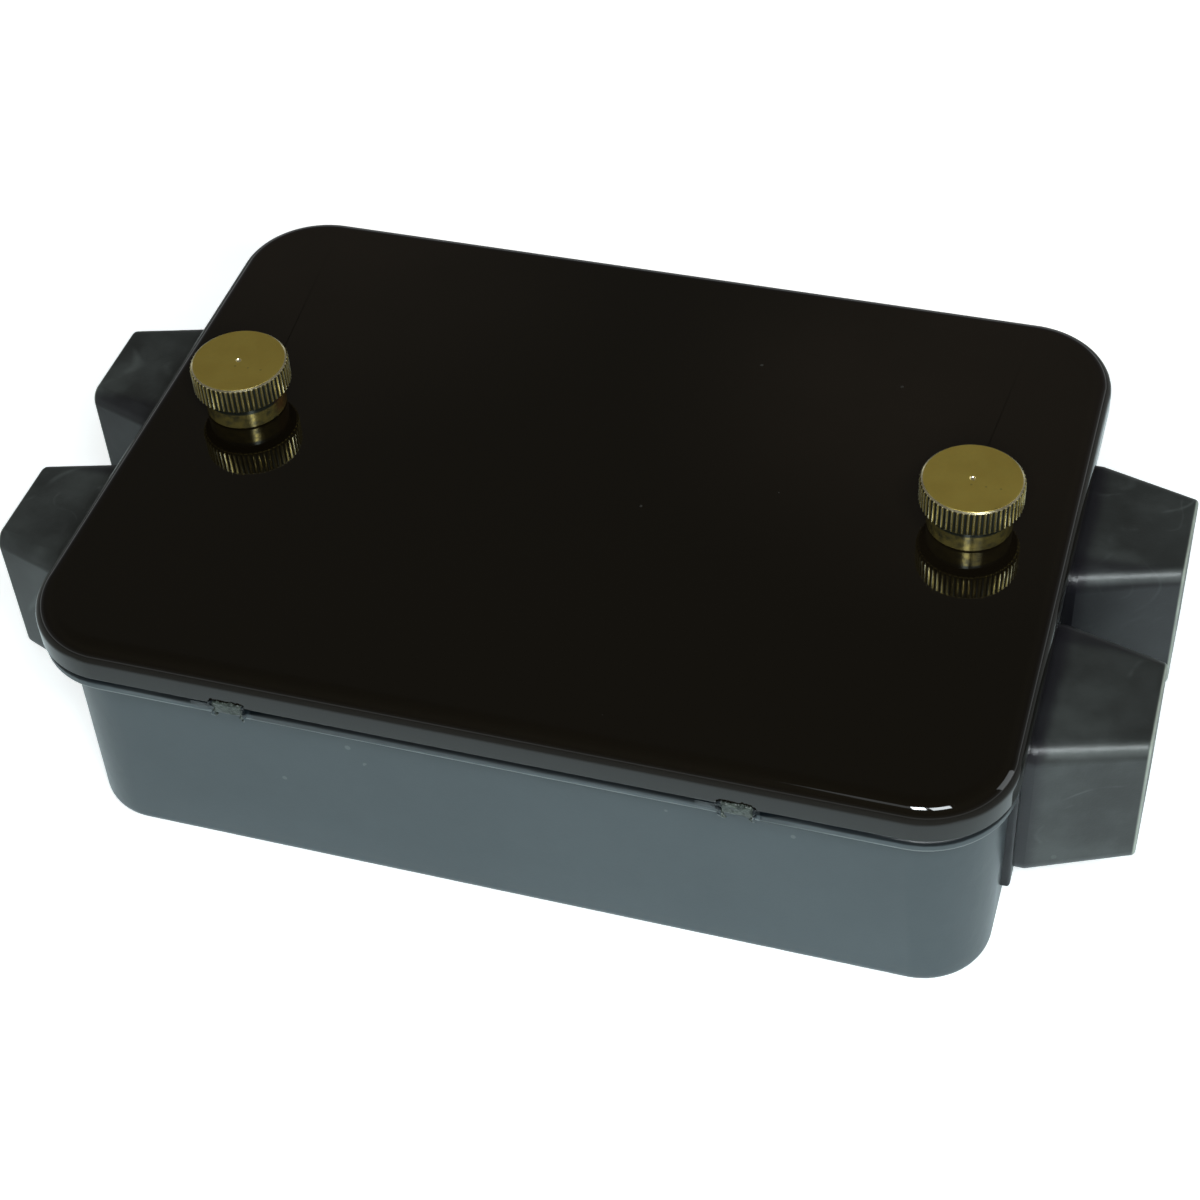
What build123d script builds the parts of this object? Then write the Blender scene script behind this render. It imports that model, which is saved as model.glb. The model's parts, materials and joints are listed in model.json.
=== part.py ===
from build123d import *
import os
from math import cos, pi, sin

os.makedirs("parts", exist_ok=True)

# Waterproof junction box: a moulded tray with a rubber cable gland in each short end, a pressed
# steel lid on a rubber gasket, and two knurled brass thumb screws that clamp the lid down on
# brass pillars. A row of screw terminals stands on the floor of the tray.
# Millimetres. +Z is up, X runs along the box and the front is at -Y. The origin is the middle
# of the tray's resting face.

# Lid
LID_LENGTH = 152.0
LID_WIDTH = 109.0
LID_CORNER = 14.2
LID_TOP = 46.2
LID_DEPTH = 6.5
LID_SHEET = 1.2
LID_EDGE = 2.3

# Tray: drafted walls, a bead below the lid's skirt and a rim inside the skirt
END_WALL_SETBACK = 2.0
SIDE_WALL_SETBACK = 4.5
WALL_DRAFT = 0.3
TRAY_TOP_CORNER = 13.2
TRAY_BOTTOM_CORNER = 10.8
TRAY_WALL = 2.6
TRAY_FLOOR = 2.8
TRAY_FOOT_EDGE = 2.4
TRAY_INNER_EDGE = 1.6
SKIRT_GAP = 0.5
BEAD_HEIGHT = 2.4
BEAD_INSET = 0.3
BEAD_EDGE = 0.9
RIM_CLEARANCE = 0.3
RIM_WALL = 2.2
RIM_EDGE = 0.4

# Torn moulding gates on the front of the bead
GATE_PLACES = (-39.8, 38.2)
GATE_WIDTH = 6.4
GATE_NOTCH = 0.6
GATE_STUB_WIDTH = 4.2
GATE_STUB_RISE = 1.3
GATE_STUB_PROUD = 0.45
GATE_STUB_GAP = 0.15

# Gasket between the rim and the lid
GASKET_THICKNESS = 2.0
GASKET_BAND = 4.6

# Thumb screws and the pillars that they screw into
SCREW_END_DISTANCE = 16.2
SCREW_LINE_Y = 3.6
HEAD_DIAMETER = 16.0
HEAD_RIBS = 44
HEAD_RIB_DEPTH = 0.4
HEAD_HEIGHT = 4.7
HEAD_EDGE = 0.45
NECK_DIAMETER = 12.2
NECK_HEIGHT = 0.5
COLLAR_DIAMETER = 13.2
COLLAR_HEIGHT = 3.9
COLLAR_EDGE = 0.3
CENTRE_MARK_DIAMETER = 1.0
CENTRE_MARK_DEPTH = 0.4
SHANK_DIAMETER = 5.0
SHANK_LENGTH = 18.0
SHANK_TIP = 0.8
SHANK_HOLE_CLEARANCE = 0.3
SEAL_DIAMETER = 11.0
SEAL_THICKNESS = 1.0
RING_DIAMETER = 8.4
RING_THICKNESS = 0.6
RING_GROOVE_DEPTH = 0.4
RING_FREE_PLAY = 0.3
RING_MOUTH = 3.0
PILLAR_ACROSS_FLATS = 8.0
PILLAR_LID_GAP = 3.0
PILLAR_BORE_DEPTH = 18.0
PILLAR_FOOT_DIAMETER = 6.8
PILLAR_FOOT_LENGTH = 6.0
PILLAR_EDGE = 0.5
THREAD_RUNNING_GAP = 0.05
BOSS_DIAMETER = 13.0
BOSS_TOP = 11.0
BOSS_DRAFT = 0.6

# Holes that fix the tray to a wall or panel
FIXING_EDGE_DISTANCE = 13.7
FIXING_HOLE = 5.5
FIXING_BOSS_DIAMETER = 12.0
FIXING_BOSS_HEIGHT = 2.4

# Rubber glands: a flange each side of the end wall and two tapered square nozzles
SLOT_SIDE_DISTANCE = 17.6
NOZZLE_GAP = 8.0
NOZZLE_ROOT_BOTTOM = 8.9
NOZZLE_ROOT_LENGTH = 2.9
NOZZLE_ROOT_EDGE = 3.2
NOZZLE_TAPER_LENGTH = 15.7
NOZZLE_END_RIM = 3.8
NOZZLE_END_BOTTOM = 11.7
NOZZLE_END_EDGE = 2.4
NOZZLE_MOUTH_EDGE = 0.8
NOZZLE_TOP_GAP = 2.3
NOZZLE_WALL = 2.6
NOZZLE_END_WALL = 3.6
NOZZLE_INNER_EDGE = 1.0
CABLE_BORE = 11.0
GLAND_FLANGE_LIP = 1.6
GLAND_FLANGE_SINK = 1.0
GLAND_FLANGE_THICKNESS = 1.2
GLAND_FLANGE_EDGE = 0.5
GLAND_INNER_THICKNESS = 2.0
GLAND_SLOT_CLEARANCE = 0.1

# Terminal block: it holds as many ways as fit between the pillars' bosses
BLOCK_END_GAP = 2.8
WAY_PITCH = 10.0
BARRIER_THICKNESS = 1.6
BARRIER_RISE = 9.0
BARRIER_EDGE = 0.6
BLOCK_WIDTH = 26.0
BLOCK_HEIGHT = 7.0
BLOCK_PAD_HEIGHT = 5.0
BLOCK_PAD_SIZE = 10.0
EAR_LENGTH = 8.6
EAR_HEIGHT = 4.0
EAR_CORNER = 3.5
EAR_SCREW = 4.0
EAR_SCREW_REACH = 4.6
EAR_SCREW_HEAD = 7.4
EAR_SCREW_HEAD_HEIGHT = 2.4
BAR_WIDTH = 7.6
BAR_LENGTH = 22.0
BAR_THICKNESS = 1.2
TERMINAL_SCREW = 3.4
TERMINAL_SCREW_SPACING = 13.0
TERMINAL_SCREW_REACH = 4.6
TERMINAL_SCREW_HEAD = 6.2
TERMINAL_SCREW_HEAD_HEIGHT = 2.0
TERMINAL_POCKET_DEPTH = 5.2
CLAMP_SIZE = 6.8
CLAMP_THICKNESS = 0.8
CLAMP_LIP = 0.6
CLAMP_HOLLOW = 0.2
TERMINAL_POCKET_CLEARANCE = 0.1
SCREW_CLEARANCE = 0.05
SCREW_HEAD_EDGE = 0.7
SCREW_SLOT_WIDTH = 0.9
SCREW_SLOT_DEPTH = 1.0

# Lengths and widths that follow from the sizes above
TRAY_TOP_LENGTH = LID_LENGTH - 2 * END_WALL_SETBACK
TRAY_TOP_WIDTH = LID_WIDTH - 2 * SIDE_WALL_SETBACK
TRAY_BOTTOM_LENGTH = TRAY_TOP_LENGTH - 2 * WALL_DRAFT
TRAY_BOTTOM_WIDTH = TRAY_TOP_WIDTH - 2 * WALL_DRAFT
SCREW_X = LID_LENGTH / 2 - SCREW_END_DISTANCE
FIXING_X = TRAY_BOTTOM_LENGTH / 2 - FIXING_EDGE_DISTANCE
FIXING_Y = TRAY_BOTTOM_WIDTH / 2 - FIXING_EDGE_DISTANCE
BLOCK_ROOM = 2 * (SCREW_X - BOSS_DIAMETER / 2 - BOSS_DRAFT - BLOCK_END_GAP - EAR_LENGTH)
WAYS = int((BLOCK_ROOM - BARRIER_THICKNESS) / WAY_PITCH)
BLOCK_LENGTH = WAYS * WAY_PITCH + BARRIER_THICKNESS
EAR_CENTRE_X = BLOCK_LENGTH / 2 + EAR_LENGTH / 2

# Heights that follow from the sizes above
SKIRT_BOTTOM = LID_TOP - LID_DEPTH
LID_UNDERSIDE = LID_TOP - LID_SHEET
RIM_TOP = LID_UNDERSIDE - GASKET_THICKNESS
BEAD_TOP = SKIRT_BOTTOM - SKIRT_GAP
BEAD_BOTTOM = BEAD_TOP - BEAD_HEIGHT
LID_INNER_LENGTH = LID_LENGTH - 2 * LID_SHEET
LID_INNER_WIDTH = LID_WIDTH - 2 * LID_SHEET
LID_INNER_CORNER = LID_CORNER - LID_SHEET
RIM_LENGTH = LID_INNER_LENGTH - 2 * RIM_CLEARANCE
RIM_WIDTH = LID_INNER_WIDTH - 2 * RIM_CLEARANCE
RIM_CORNER = LID_INNER_CORNER - RIM_CLEARANCE
LID_INNER_EDGE = LID_EDGE - LID_SHEET
RING_TOP = LID_UNDERSIDE - SEAL_THICKNESS - RING_FREE_PLAY
PILLAR_TOP = LID_UNDERSIDE - PILLAR_LID_GAP
BLOCK_BOTTOM = TRAY_FLOOR + BLOCK_PAD_HEIGHT
BLOCK_TOP = BLOCK_BOTTOM + BLOCK_HEIGHT
BAR_TOP = BLOCK_TOP + BAR_THICKNESS
CLAMP_TOP = BAR_TOP + CLAMP_THICKNESS
NOZZLE_TOP = SKIRT_BOTTOM - NOZZLE_TOP_GAP

# The slot in the tray's end wall is as wide and as low as the pair of nozzle roots
SLOT_HALF_WIDTH = TRAY_TOP_WIDTH / 2 - SLOT_SIDE_DISTANCE
SLOT_BOTTOM = NOZZLE_ROOT_BOTTOM
NOZZLE_ROOT_WIDTH = SLOT_HALF_WIDTH - NOZZLE_GAP / 2
NOZZLE_SPACING = NOZZLE_ROOT_WIDTH + NOZZLE_GAP
NOZZLE_END_WIDTH = CABLE_BORE + 2 * NOZZLE_END_RIM
NOZZLE_ROOT_X = TRAY_TOP_LENGTH / 2 + NOZZLE_ROOT_LENGTH
NOZZLE_END_X = NOZZLE_ROOT_X + NOZZLE_TAPER_LENGTH
FLANGE_HALF_WIDTH = SLOT_HALF_WIDTH + GLAND_FLANGE_LIP
FLANGE_BOTTOM = SLOT_BOTTOM - GLAND_FLANGE_SINK
FLANGE_FACE_X = TRAY_TOP_LENGTH / 2 + GLAND_FLANGE_THICKNESS
GLAND_DEPTH = TRAY_WALL + GLAND_INNER_THICKNESS

SIDES = {"left": -1, "right": 1}


def slab(length, width, corner, low, high):
    """A rounded rectangle drawn up from one height to another."""
    return Pos(0, 0, low) * extrude(RectangleRounded(length, width, corner), high - low)


def block(x_range, y_range, z_range):
    """A plain box between two corners."""
    sizes = [high - low for low, high in (x_range, y_range, z_range)]
    middle = [(high + low) / 2 for low, high in (x_range, y_range, z_range)]
    return Pos(*middle) * Box(*sizes)


def rod(diameter, low, high, x=0.0, y=0.0):
    """An upright cylinder from one height to another."""
    return Pos(x, y, (low + high) / 2) * Cylinder(diameter / 2, high - low)


def tray_section(height, inset):
    """The tray's drafted outline at a height, moved inwards by the inset."""
    share = height / BEAD_BOTTOM
    length = TRAY_BOTTOM_LENGTH + share * (TRAY_TOP_LENGTH - TRAY_BOTTOM_LENGTH)
    width = TRAY_BOTTOM_WIDTH + share * (TRAY_TOP_WIDTH - TRAY_BOTTOM_WIDTH)
    corner = TRAY_BOTTOM_CORNER + share * (TRAY_TOP_CORNER - TRAY_BOTTOM_CORNER)
    outline = RectangleRounded(length - 2 * inset, width - 2 * inset, corner - inset)
    return Pos(0, 0, height) * outline


def tray_walls():
    """The outside of the tray's drafted walls, as a solid with a rounded foot."""
    walls = loft([tray_section(0, 0), tray_section(BEAD_BOTTOM, 0)], ruled=True)
    foot = walls.faces().sort_by(Axis.Z)[0]
    return fillet(foot.edges(), TRAY_FOOT_EDGE)


def tray_cavity():
    """The room inside the tray, up to the bead."""
    sections = [tray_section(TRAY_FLOOR, TRAY_WALL), tray_section(BEAD_TOP, TRAY_WALL)]
    room = loft(sections, ruled=True)
    floor = room.faces().sort_by(Axis.Z)[0]
    return fillet(floor.edges(), TRAY_INNER_EDGE)


def bead():
    """The bead under the lid's skirt, with its outer edges rounded."""
    outside = 2 * BEAD_INSET
    ring = slab(LID_LENGTH - outside, LID_WIDTH - outside, LID_CORNER - BEAD_INSET, BEAD_BOTTOM, BEAD_TOP)
    flat_faces = ring.faces().filter_by(Axis.Z)
    ring = fillet(flat_faces.edges(), BEAD_EDGE)
    for place in GATE_PLACES:
        front = -(LID_WIDTH / 2 - BEAD_INSET)
        ring -= block((place - GATE_WIDTH / 2, place + GATE_WIDTH / 2),
                      (front - GATE_NOTCH, front + GATE_NOTCH), (BEAD_BOTTOM, BEAD_TOP))
    return ring


def gate_stub(place):
    """What is left of a moulding gate: a torn stub that leans out past the lid's skirt."""
    front = -(LID_WIDTH / 2)
    low = BEAD_BOTTOM + BEAD_EDGE
    high = BEAD_TOP + GATE_STUB_RISE
    profile = Polygon(
        (front + BEAD_INSET + GATE_NOTCH, low),
        (front - GATE_STUB_PROUD, low + BEAD_EDGE),
        (front - GATE_STUB_PROUD, high),
        (front - GATE_STUB_GAP, high),
        (front - GATE_STUB_GAP, BEAD_TOP),
        (front + BEAD_INSET + GATE_NOTCH, BEAD_TOP),
        align=None,
    )
    stub = extrude(Plane.YZ * profile, GATE_STUB_WIDTH)
    return Pos(place - GATE_STUB_WIDTH / 2, 0, 0) * stub


def screw_places():
    return [(side * SCREW_X, SCREW_LINE_Y) for side in SIDES.values()]


def fixing_places():
    return [(x * FIXING_X, y * FIXING_Y) for x in (-1, 1) for y in (-1, 1)]


def base_tray():
    rim_room = slab(RIM_LENGTH - 2 * RIM_WALL, RIM_WIDTH - 2 * RIM_WALL, RIM_CORNER - RIM_WALL,
                    BEAD_TOP, RIM_TOP)
    rim = slab(RIM_LENGTH, RIM_WIDTH, RIM_CORNER, BEAD_TOP, RIM_TOP)
    rim = chamfer(rim.faces().sort_by(Axis.Z)[-1].edges(), RIM_EDGE)
    tray = tray_walls() + bead() + rim - tray_cavity() - rim_room
    for place in GATE_PLACES:
        tray += gate_stub(place)
    slot_y = (-SLOT_HALF_WIDTH, SLOT_HALF_WIDTH)
    notch_half = FLANGE_HALF_WIDTH + GLAND_SLOT_CLEARANCE
    for side in SIDES.values():
        inner_x = TRAY_BOTTOM_LENGTH / 2 - GLAND_DEPTH
        x_range = sorted((side * inner_x, side * LID_LENGTH / 2))
        tray -= block(x_range, slot_y, (SLOT_BOTTOM, RIM_TOP))
        x_range = sorted((side * TRAY_TOP_LENGTH / 2, side * LID_LENGTH / 2))
        tray -= block(x_range, (-notch_half, notch_half), (BEAD_BOTTOM, BEAD_TOP))
    for x, y in screw_places():
        height = BOSS_TOP - TRAY_FLOOR
        boss = Cone(BOSS_DIAMETER / 2 + BOSS_DRAFT, BOSS_DIAMETER / 2, height)
        tray += Pos(x, y, TRAY_FLOOR + height / 2) * boss
        tray -= rod(PILLAR_FOOT_DIAMETER + 2 * SCREW_CLEARANCE, BOSS_TOP - PILLAR_FOOT_LENGTH, BOSS_TOP, x, y)
    for x, y in fixing_places():
        tray += rod(FIXING_BOSS_DIAMETER, TRAY_FLOOR, TRAY_FLOOR + FIXING_BOSS_HEIGHT, x, y)
        tray -= rod(FIXING_HOLE, 0, TRAY_FLOOR + FIXING_BOSS_HEIGHT, x, y)
    for side in SIDES.values():
        pad_x = side * EAR_CENTRE_X
        half = BLOCK_PAD_SIZE / 2
        tray += block((pad_x - half, pad_x + half), (-half, half), (TRAY_FLOOR, BLOCK_BOTTOM))
        screw_end = BLOCK_BOTTOM - EAR_SCREW_REACH
        tray -= rod(EAR_SCREW + 2 * SCREW_CLEARANCE, screw_end, BLOCK_BOTTOM, pad_x)
    return tray


def lid():
    outside = slab(LID_LENGTH, LID_WIDTH, LID_CORNER, SKIRT_BOTTOM, LID_TOP)
    outside = fillet(outside.faces().sort_by(Axis.Z)[-1].edges(), LID_EDGE)
    inside = slab(LID_INNER_LENGTH, LID_INNER_WIDTH, LID_INNER_CORNER, SKIRT_BOTTOM, LID_UNDERSIDE)
    inside = fillet(inside.faces().sort_by(Axis.Z)[-1].edges(), LID_INNER_EDGE)
    pan = outside - inside
    for x, y in screw_places():
        pan -= rod(SHANK_DIAMETER + 2 * SHANK_HOLE_CLEARANCE, LID_UNDERSIDE, LID_TOP, x, y)
    return pan


def lid_gasket():
    """A flat ring over the tray's rim that keeps clear of the round inside the lid's edge."""
    rings = []
    for inset in (LID_INNER_EDGE, LID_INNER_EDGE + GASKET_BAND):
        corner = LID_INNER_CORNER - inset
        rings.append(slab(LID_INNER_LENGTH - 2 * inset, LID_INNER_WIDTH - 2 * inset, corner,
                          RIM_TOP, LID_UNDERSIDE))
    return rings[0] - rings[1]


def knurled_head(low):
    """A disc with straight V ribs round its edge, and both edges chamfered."""
    tip = HEAD_DIAMETER / 2
    root = tip - HEAD_RIB_DEPTH
    points = []
    for rib in range(HEAD_RIBS):
        for radius, half_step in ((tip, 0), (root, 1)):
            angle = 2 * pi * (rib + half_step / 2) / HEAD_RIBS
            points.append((radius * cos(angle), radius * sin(angle)))
    ribs = extrude(Polygon(*points, align=None), HEAD_HEIGHT)
    envelope = chamfer(Cylinder(tip, HEAD_HEIGHT).edges().filter_by(GeomType.CIRCLE), HEAD_EDGE)
    head = ribs & Pos(0, 0, HEAD_HEIGHT / 2) * envelope
    mark = Cone(0, CENTRE_MARK_DIAMETER / 2, CENTRE_MARK_DEPTH)
    head -= Pos(0, 0, HEAD_HEIGHT - CENTRE_MARK_DEPTH / 2) * mark
    return Pos(0, 0, low) * head


def thumb_screw():
    """A knurled brass screw for the origin's upright axis, its collar on the lid."""
    neck_low = LID_TOP + COLLAR_HEIGHT
    head_low = neck_low + NECK_HEIGHT
    tip_low = LID_TOP - SHANK_LENGTH
    shank = rod(SHANK_DIAMETER, tip_low, LID_TOP)
    shank = chamfer(shank.edges().sort_by(Axis.Z)[0], SHANK_TIP)
    shank -= (rod(SHANK_DIAMETER, RING_TOP - RING_THICKNESS, RING_TOP)
              - rod(SHANK_DIAMETER - 2 * RING_GROOVE_DEPTH, RING_TOP - RING_THICKNESS, RING_TOP))
    collar = rod(COLLAR_DIAMETER, LID_TOP, neck_low)
    collar = chamfer(collar.edges().filter_by(GeomType.CIRCLE), COLLAR_EDGE)
    screw = shank + collar + rod(NECK_DIAMETER, neck_low, head_low)
    return screw + knurled_head(head_low)


def screw_seal():
    """A rubber washer under the lid, round the shank."""
    low = LID_UNDERSIDE - SEAL_THICKNESS
    washer = rod(SEAL_DIAMETER, low, LID_UNDERSIDE)
    return washer - rod(SHANK_DIAMETER + 2 * SHANK_HOLE_CLEARANCE, low, LID_UNDERSIDE)


def retaining_ring():
    """An open spring clip in the shank's groove, which keeps the screw on the lid."""
    low = RING_TOP - RING_THICKNESS
    bore = SHANK_DIAMETER - 2 * RING_GROOVE_DEPTH + 2 * SCREW_CLEARANCE
    ring = rod(RING_DIAMETER, low, RING_TOP) - rod(bore, low, RING_TOP)
    return ring - block((-RING_MOUTH / 2, RING_MOUTH / 2), (-RING_DIAMETER, 0), (low, RING_TOP))


def pillar():
    """A hexagonal brass pillar with a round foot in its boss and a blind thread from the top."""
    hexagon = RegularPolygon(PILLAR_ACROSS_FLATS / 2, 6, major_radius=False)
    post = Pos(0, 0, BOSS_TOP) * extrude(hexagon, PILLAR_TOP - BOSS_TOP)
    foot_low = BOSS_TOP - PILLAR_FOOT_LENGTH
    post += rod(PILLAR_FOOT_DIAMETER, foot_low, BOSS_TOP)
    bore = SHANK_DIAMETER + 2 * THREAD_RUNNING_GAP
    post -= rod(bore, PILLAR_TOP - PILLAR_BORE_DEPTH, PILLAR_TOP)
    mouth = post.edges().filter_by(GeomType.CIRCLE).sort_by(Axis.Z)[-1]
    return chamfer(mouth, PILLAR_EDGE)


def nozzle_section(x, width, bottom, edge, inset):
    """A nozzle's square outline across X, moved inwards by the inset."""
    height = NOZZLE_TOP - bottom - 2 * inset
    outline = RectangleRounded(width - 2 * inset, height, edge)
    return Plane.YZ.offset(x) * Pos(0, (NOZZLE_TOP + bottom) / 2) * outline


def share_of_taper(x, root_value, end_value):
    """What a size that changes along the nozzle's taper is at x."""
    share = (x - NOZZLE_ROOT_X) / (NOZZLE_END_X - NOZZLE_ROOT_X)
    return root_value + share * (end_value - root_value)


def nozzle_outside():
    """A nozzle's tapered outside, with the edge round its mouth rounded."""
    root = nozzle_section(NOZZLE_ROOT_X, NOZZLE_ROOT_WIDTH, NOZZLE_ROOT_BOTTOM, NOZZLE_ROOT_EDGE, 0)
    end = nozzle_section(NOZZLE_END_X, NOZZLE_END_WIDTH, NOZZLE_END_BOTTOM, NOZZLE_END_EDGE, 0)
    straight = extrude(root.face(), -(NOZZLE_ROOT_X - TRAY_TOP_LENGTH / 2))
    taper = loft([root, end], ruled=True)
    mouth = taper.faces().sort_by(Axis.X)[-1]
    return straight + fillet(mouth.edges(), NOZZLE_MOUTH_EDGE)


def nozzle_inside():
    """The hollow through a nozzle and its flanges, and the round bore through the end wall."""
    inner_end = NOZZLE_END_X - NOZZLE_END_WALL
    root = nozzle_section(NOZZLE_ROOT_X, NOZZLE_ROOT_WIDTH, NOZZLE_ROOT_BOTTOM, NOZZLE_INNER_EDGE, NOZZLE_WALL)
    end_width = share_of_taper(inner_end, NOZZLE_ROOT_WIDTH, NOZZLE_END_WIDTH)
    end_bottom = share_of_taper(inner_end, NOZZLE_ROOT_BOTTOM, NOZZLE_END_BOTTOM)
    end = nozzle_section(inner_end, end_width, end_bottom, NOZZLE_INNER_EDGE, NOZZLE_WALL)
    straight = extrude(root.face(), -(NOZZLE_ROOT_X - TRAY_BOTTOM_LENGTH / 2 + 2 * GLAND_DEPTH))
    bore_centre = Plane.YZ.offset(inner_end) * Pos(0, (NOZZLE_TOP + NOZZLE_END_BOTTOM) / 2)
    bore = extrude(bore_centre * Circle(CABLE_BORE / 2), NOZZLE_END_WALL)
    return straight + loft([root, end], ruled=True) + bore


def gland():
    """One rubber moulding for the right-hand end: outer flange, neck, inner flange and nozzles."""
    wall_x = TRAY_TOP_LENGTH / 2
    flange_y = (-FLANGE_HALF_WIDTH, FLANGE_HALF_WIDTH)
    outer_low = wall_x - TRAY_WALL
    outer = block((outer_low, FLANGE_FACE_X), flange_y, (FLANGE_BOTTOM, BEAD_TOP))
    face_edges = outer.faces().sort_by(Axis.X)[-1].edges()
    outer = fillet(face_edges.sort_by(Axis.Z)[:-1], GLAND_FLANGE_EDGE) - tray_walls()
    outer -= block((outer_low, wall_x), flange_y, (BEAD_BOTTOM, BEAD_TOP))
    inner_face = TRAY_BOTTOM_LENGTH / 2 - GLAND_DEPTH
    inner = block((inner_face, wall_x), flange_y, (FLANGE_BOTTOM, BEAD_BOTTOM)) & tray_cavity()
    neck_half = SLOT_HALF_WIDTH - GLAND_SLOT_CLEARANCE
    neck_bottom = SLOT_BOTTOM + GLAND_SLOT_CLEARANCE
    neck = block((inner_face, RIM_LENGTH / 2), (-neck_half, neck_half), (neck_bottom, RIM_TOP))
    moulding = outer + inner + neck
    for y in (-NOZZLE_SPACING / 2, NOZZLE_SPACING / 2):
        moulding += Pos(0, y, 0) * nozzle_outside()
    for y in (-NOZZLE_SPACING / 2, NOZZLE_SPACING / 2):
        moulding -= Pos(0, y, 0) * nozzle_inside()
    return moulding


def terminal_places():
    """The middles of the ways, along X."""
    first = -(WAYS - 1) * WAY_PITCH / 2
    return [first + way * WAY_PITCH for way in range(WAYS)]


def terminal_screw_places():
    spread = TERMINAL_SCREW_SPACING / 2
    return [(x, y) for x in terminal_places() for y in (-spread, spread)]


def terminal_block():
    half_length = BLOCK_LENGTH / 2
    half_width = BLOCK_WIDTH / 2
    body = block((-half_length, half_length), (-half_width, half_width), (BLOCK_BOTTOM, BLOCK_TOP))
    for gap in range(WAYS + 1):
        x = -WAYS * WAY_PITCH / 2 + gap * WAY_PITCH
        half = BARRIER_THICKNESS / 2
        barrier = block((x - half, x + half), (-half_width, half_width), (BLOCK_TOP, BLOCK_TOP + BARRIER_RISE))
        body += fillet(barrier.faces().sort_by(Axis.Z)[-1].edges(), BARRIER_EDGE)
    for side in SIDES.values():
        near, far = side * half_length, side * (half_length + EAR_LENGTH)
        half = BLOCK_PAD_SIZE / 2
        ear = block(sorted((near, far)), (-half, half), (BLOCK_BOTTOM, BLOCK_BOTTOM + EAR_HEIGHT))
        end_corners = ear.edges().filter_by(Axis.Z).sort_by(lambda edge: abs(edge.center().X))[-2:]
        body += fillet(end_corners, EAR_CORNER)
        hole = EAR_SCREW + 2 * SCREW_CLEARANCE
        body -= rod(hole, BLOCK_BOTTOM, BLOCK_BOTTOM + EAR_HEIGHT, side * EAR_CENTRE_X)
    for x, y in terminal_screw_places():
        pocket = TERMINAL_SCREW + 2 * TERMINAL_POCKET_CLEARANCE
        body -= rod(pocket, BLOCK_TOP - TERMINAL_POCKET_DEPTH, BLOCK_TOP, x, y)
    return body


def terminal_bar():
    """A flat brass bar that joins the two screws of a way."""
    half_width, half_length = BAR_WIDTH / 2, BAR_LENGTH / 2
    bar = block((-half_width, half_width), (-half_length, half_length), (BLOCK_TOP, BAR_TOP))
    for y in (-TERMINAL_SCREW_SPACING / 2, TERMINAL_SCREW_SPACING / 2):
        bar -= rod(TERMINAL_SCREW + 2 * SCREW_CLEARANCE, BLOCK_TOP, BAR_TOP, 0, y)
    return bar


def slotted_screw(seat, diameter, reach, head, head_height):
    """A pan-head screw with a slot, its head on the seat height."""
    top = rod(head, seat, seat + head_height)
    top = fillet(top.edges().sort_by(Axis.Z)[-1], SCREW_HEAD_EDGE)
    top -= block((-head, head), (-SCREW_SLOT_WIDTH / 2, SCREW_SLOT_WIDTH / 2),
                 (seat + head_height - SCREW_SLOT_DEPTH, seat + head_height))
    return top + rod(diameter, seat - reach, seat)


def wire_clamp():
    """A square saddle under a terminal screw, with two edges turned down onto the bar."""
    half = CLAMP_SIZE / 2
    plate = block((-half, half), (-half, half), (BAR_TOP, CLAMP_TOP))
    groove = half - CLAMP_LIP
    plate -= block((-half, half), (-groove, groove), (BAR_TOP, BAR_TOP + CLAMP_HOLLOW))
    return plate - rod(TERMINAL_SCREW + 2 * SCREW_CLEARANCE, BAR_TOP, CLAMP_TOP)


def terminal_screw():
    reach = CLAMP_THICKNESS + BAR_THICKNESS + TERMINAL_SCREW_REACH
    return slotted_screw(CLAMP_TOP, TERMINAL_SCREW, reach, TERMINAL_SCREW_HEAD, TERMINAL_SCREW_HEAD_HEIGHT)


def block_fixing_screw():
    reach = EAR_HEIGHT + EAR_SCREW_REACH
    seat = BLOCK_BOTTOM + EAR_HEIGHT
    return slotted_screw(seat, EAR_SCREW, reach, EAR_SCREW_HEAD, EAR_SCREW_HEAD_HEIGHT)


def copies(piece, places):
    """The same piece at each place, as one group of separate solids."""
    return Compound([(Pos(x, y, 0) * piece).solid() for x, y in places])


right_gland = gland()
pieces = {
    "base_tray": base_tray(),
    "lid": lid(),
    "lid_gasket": lid_gasket(),
    "gland_left": right_gland.rotate(Axis.Z, 180),
    "gland_right": right_gland,
    "terminal_block": terminal_block(),
    "terminal_screws": copies(terminal_screw(), terminal_screw_places()),
    "wire_clamps": copies(wire_clamp(), terminal_screw_places()),
    "block_fixing_screws": copies(block_fixing_screw(), [(side * EAR_CENTRE_X, 0) for side in SIDES.values()]),
}

screw_stack = {
    "thumb_screw": thumb_screw(),
    "screw_seal": screw_seal(),
    "retaining_ring": retaining_ring(),
    "pillar": pillar(),
}
for side_name, side in SIDES.items():
    for piece_name, piece in screw_stack.items():
        pieces[f"{piece_name}_{side_name}"] = Pos(side * SCREW_X, SCREW_LINE_Y, 0) * piece

bar = terminal_bar()
for number, place_x in enumerate(terminal_places(), start=1):
    pieces[f"terminal_bar_{number}"] = Pos(place_x, 0, 0) * bar

for name, piece in pieces.items():
    export_step(piece, f"parts/{name}.step")
    print(f"{name}: {len(piece.solids())} solid(s), {piece.volume:.0f} mm3")
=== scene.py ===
# %% [markdown]
# # A waterproof junction box
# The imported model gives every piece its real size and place, in metres. This file gives the pieces
# the shape and finish of the real box: a pressed steel lid in black gloss paint, a moulded tray, two
# rubber glands and two knurled brass thumb screws, with rows of screw terminals inside. It is read
# from the top down. Each step says first what the real piece is and how it could be made.

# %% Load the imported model
import json
import math
import random

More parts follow.
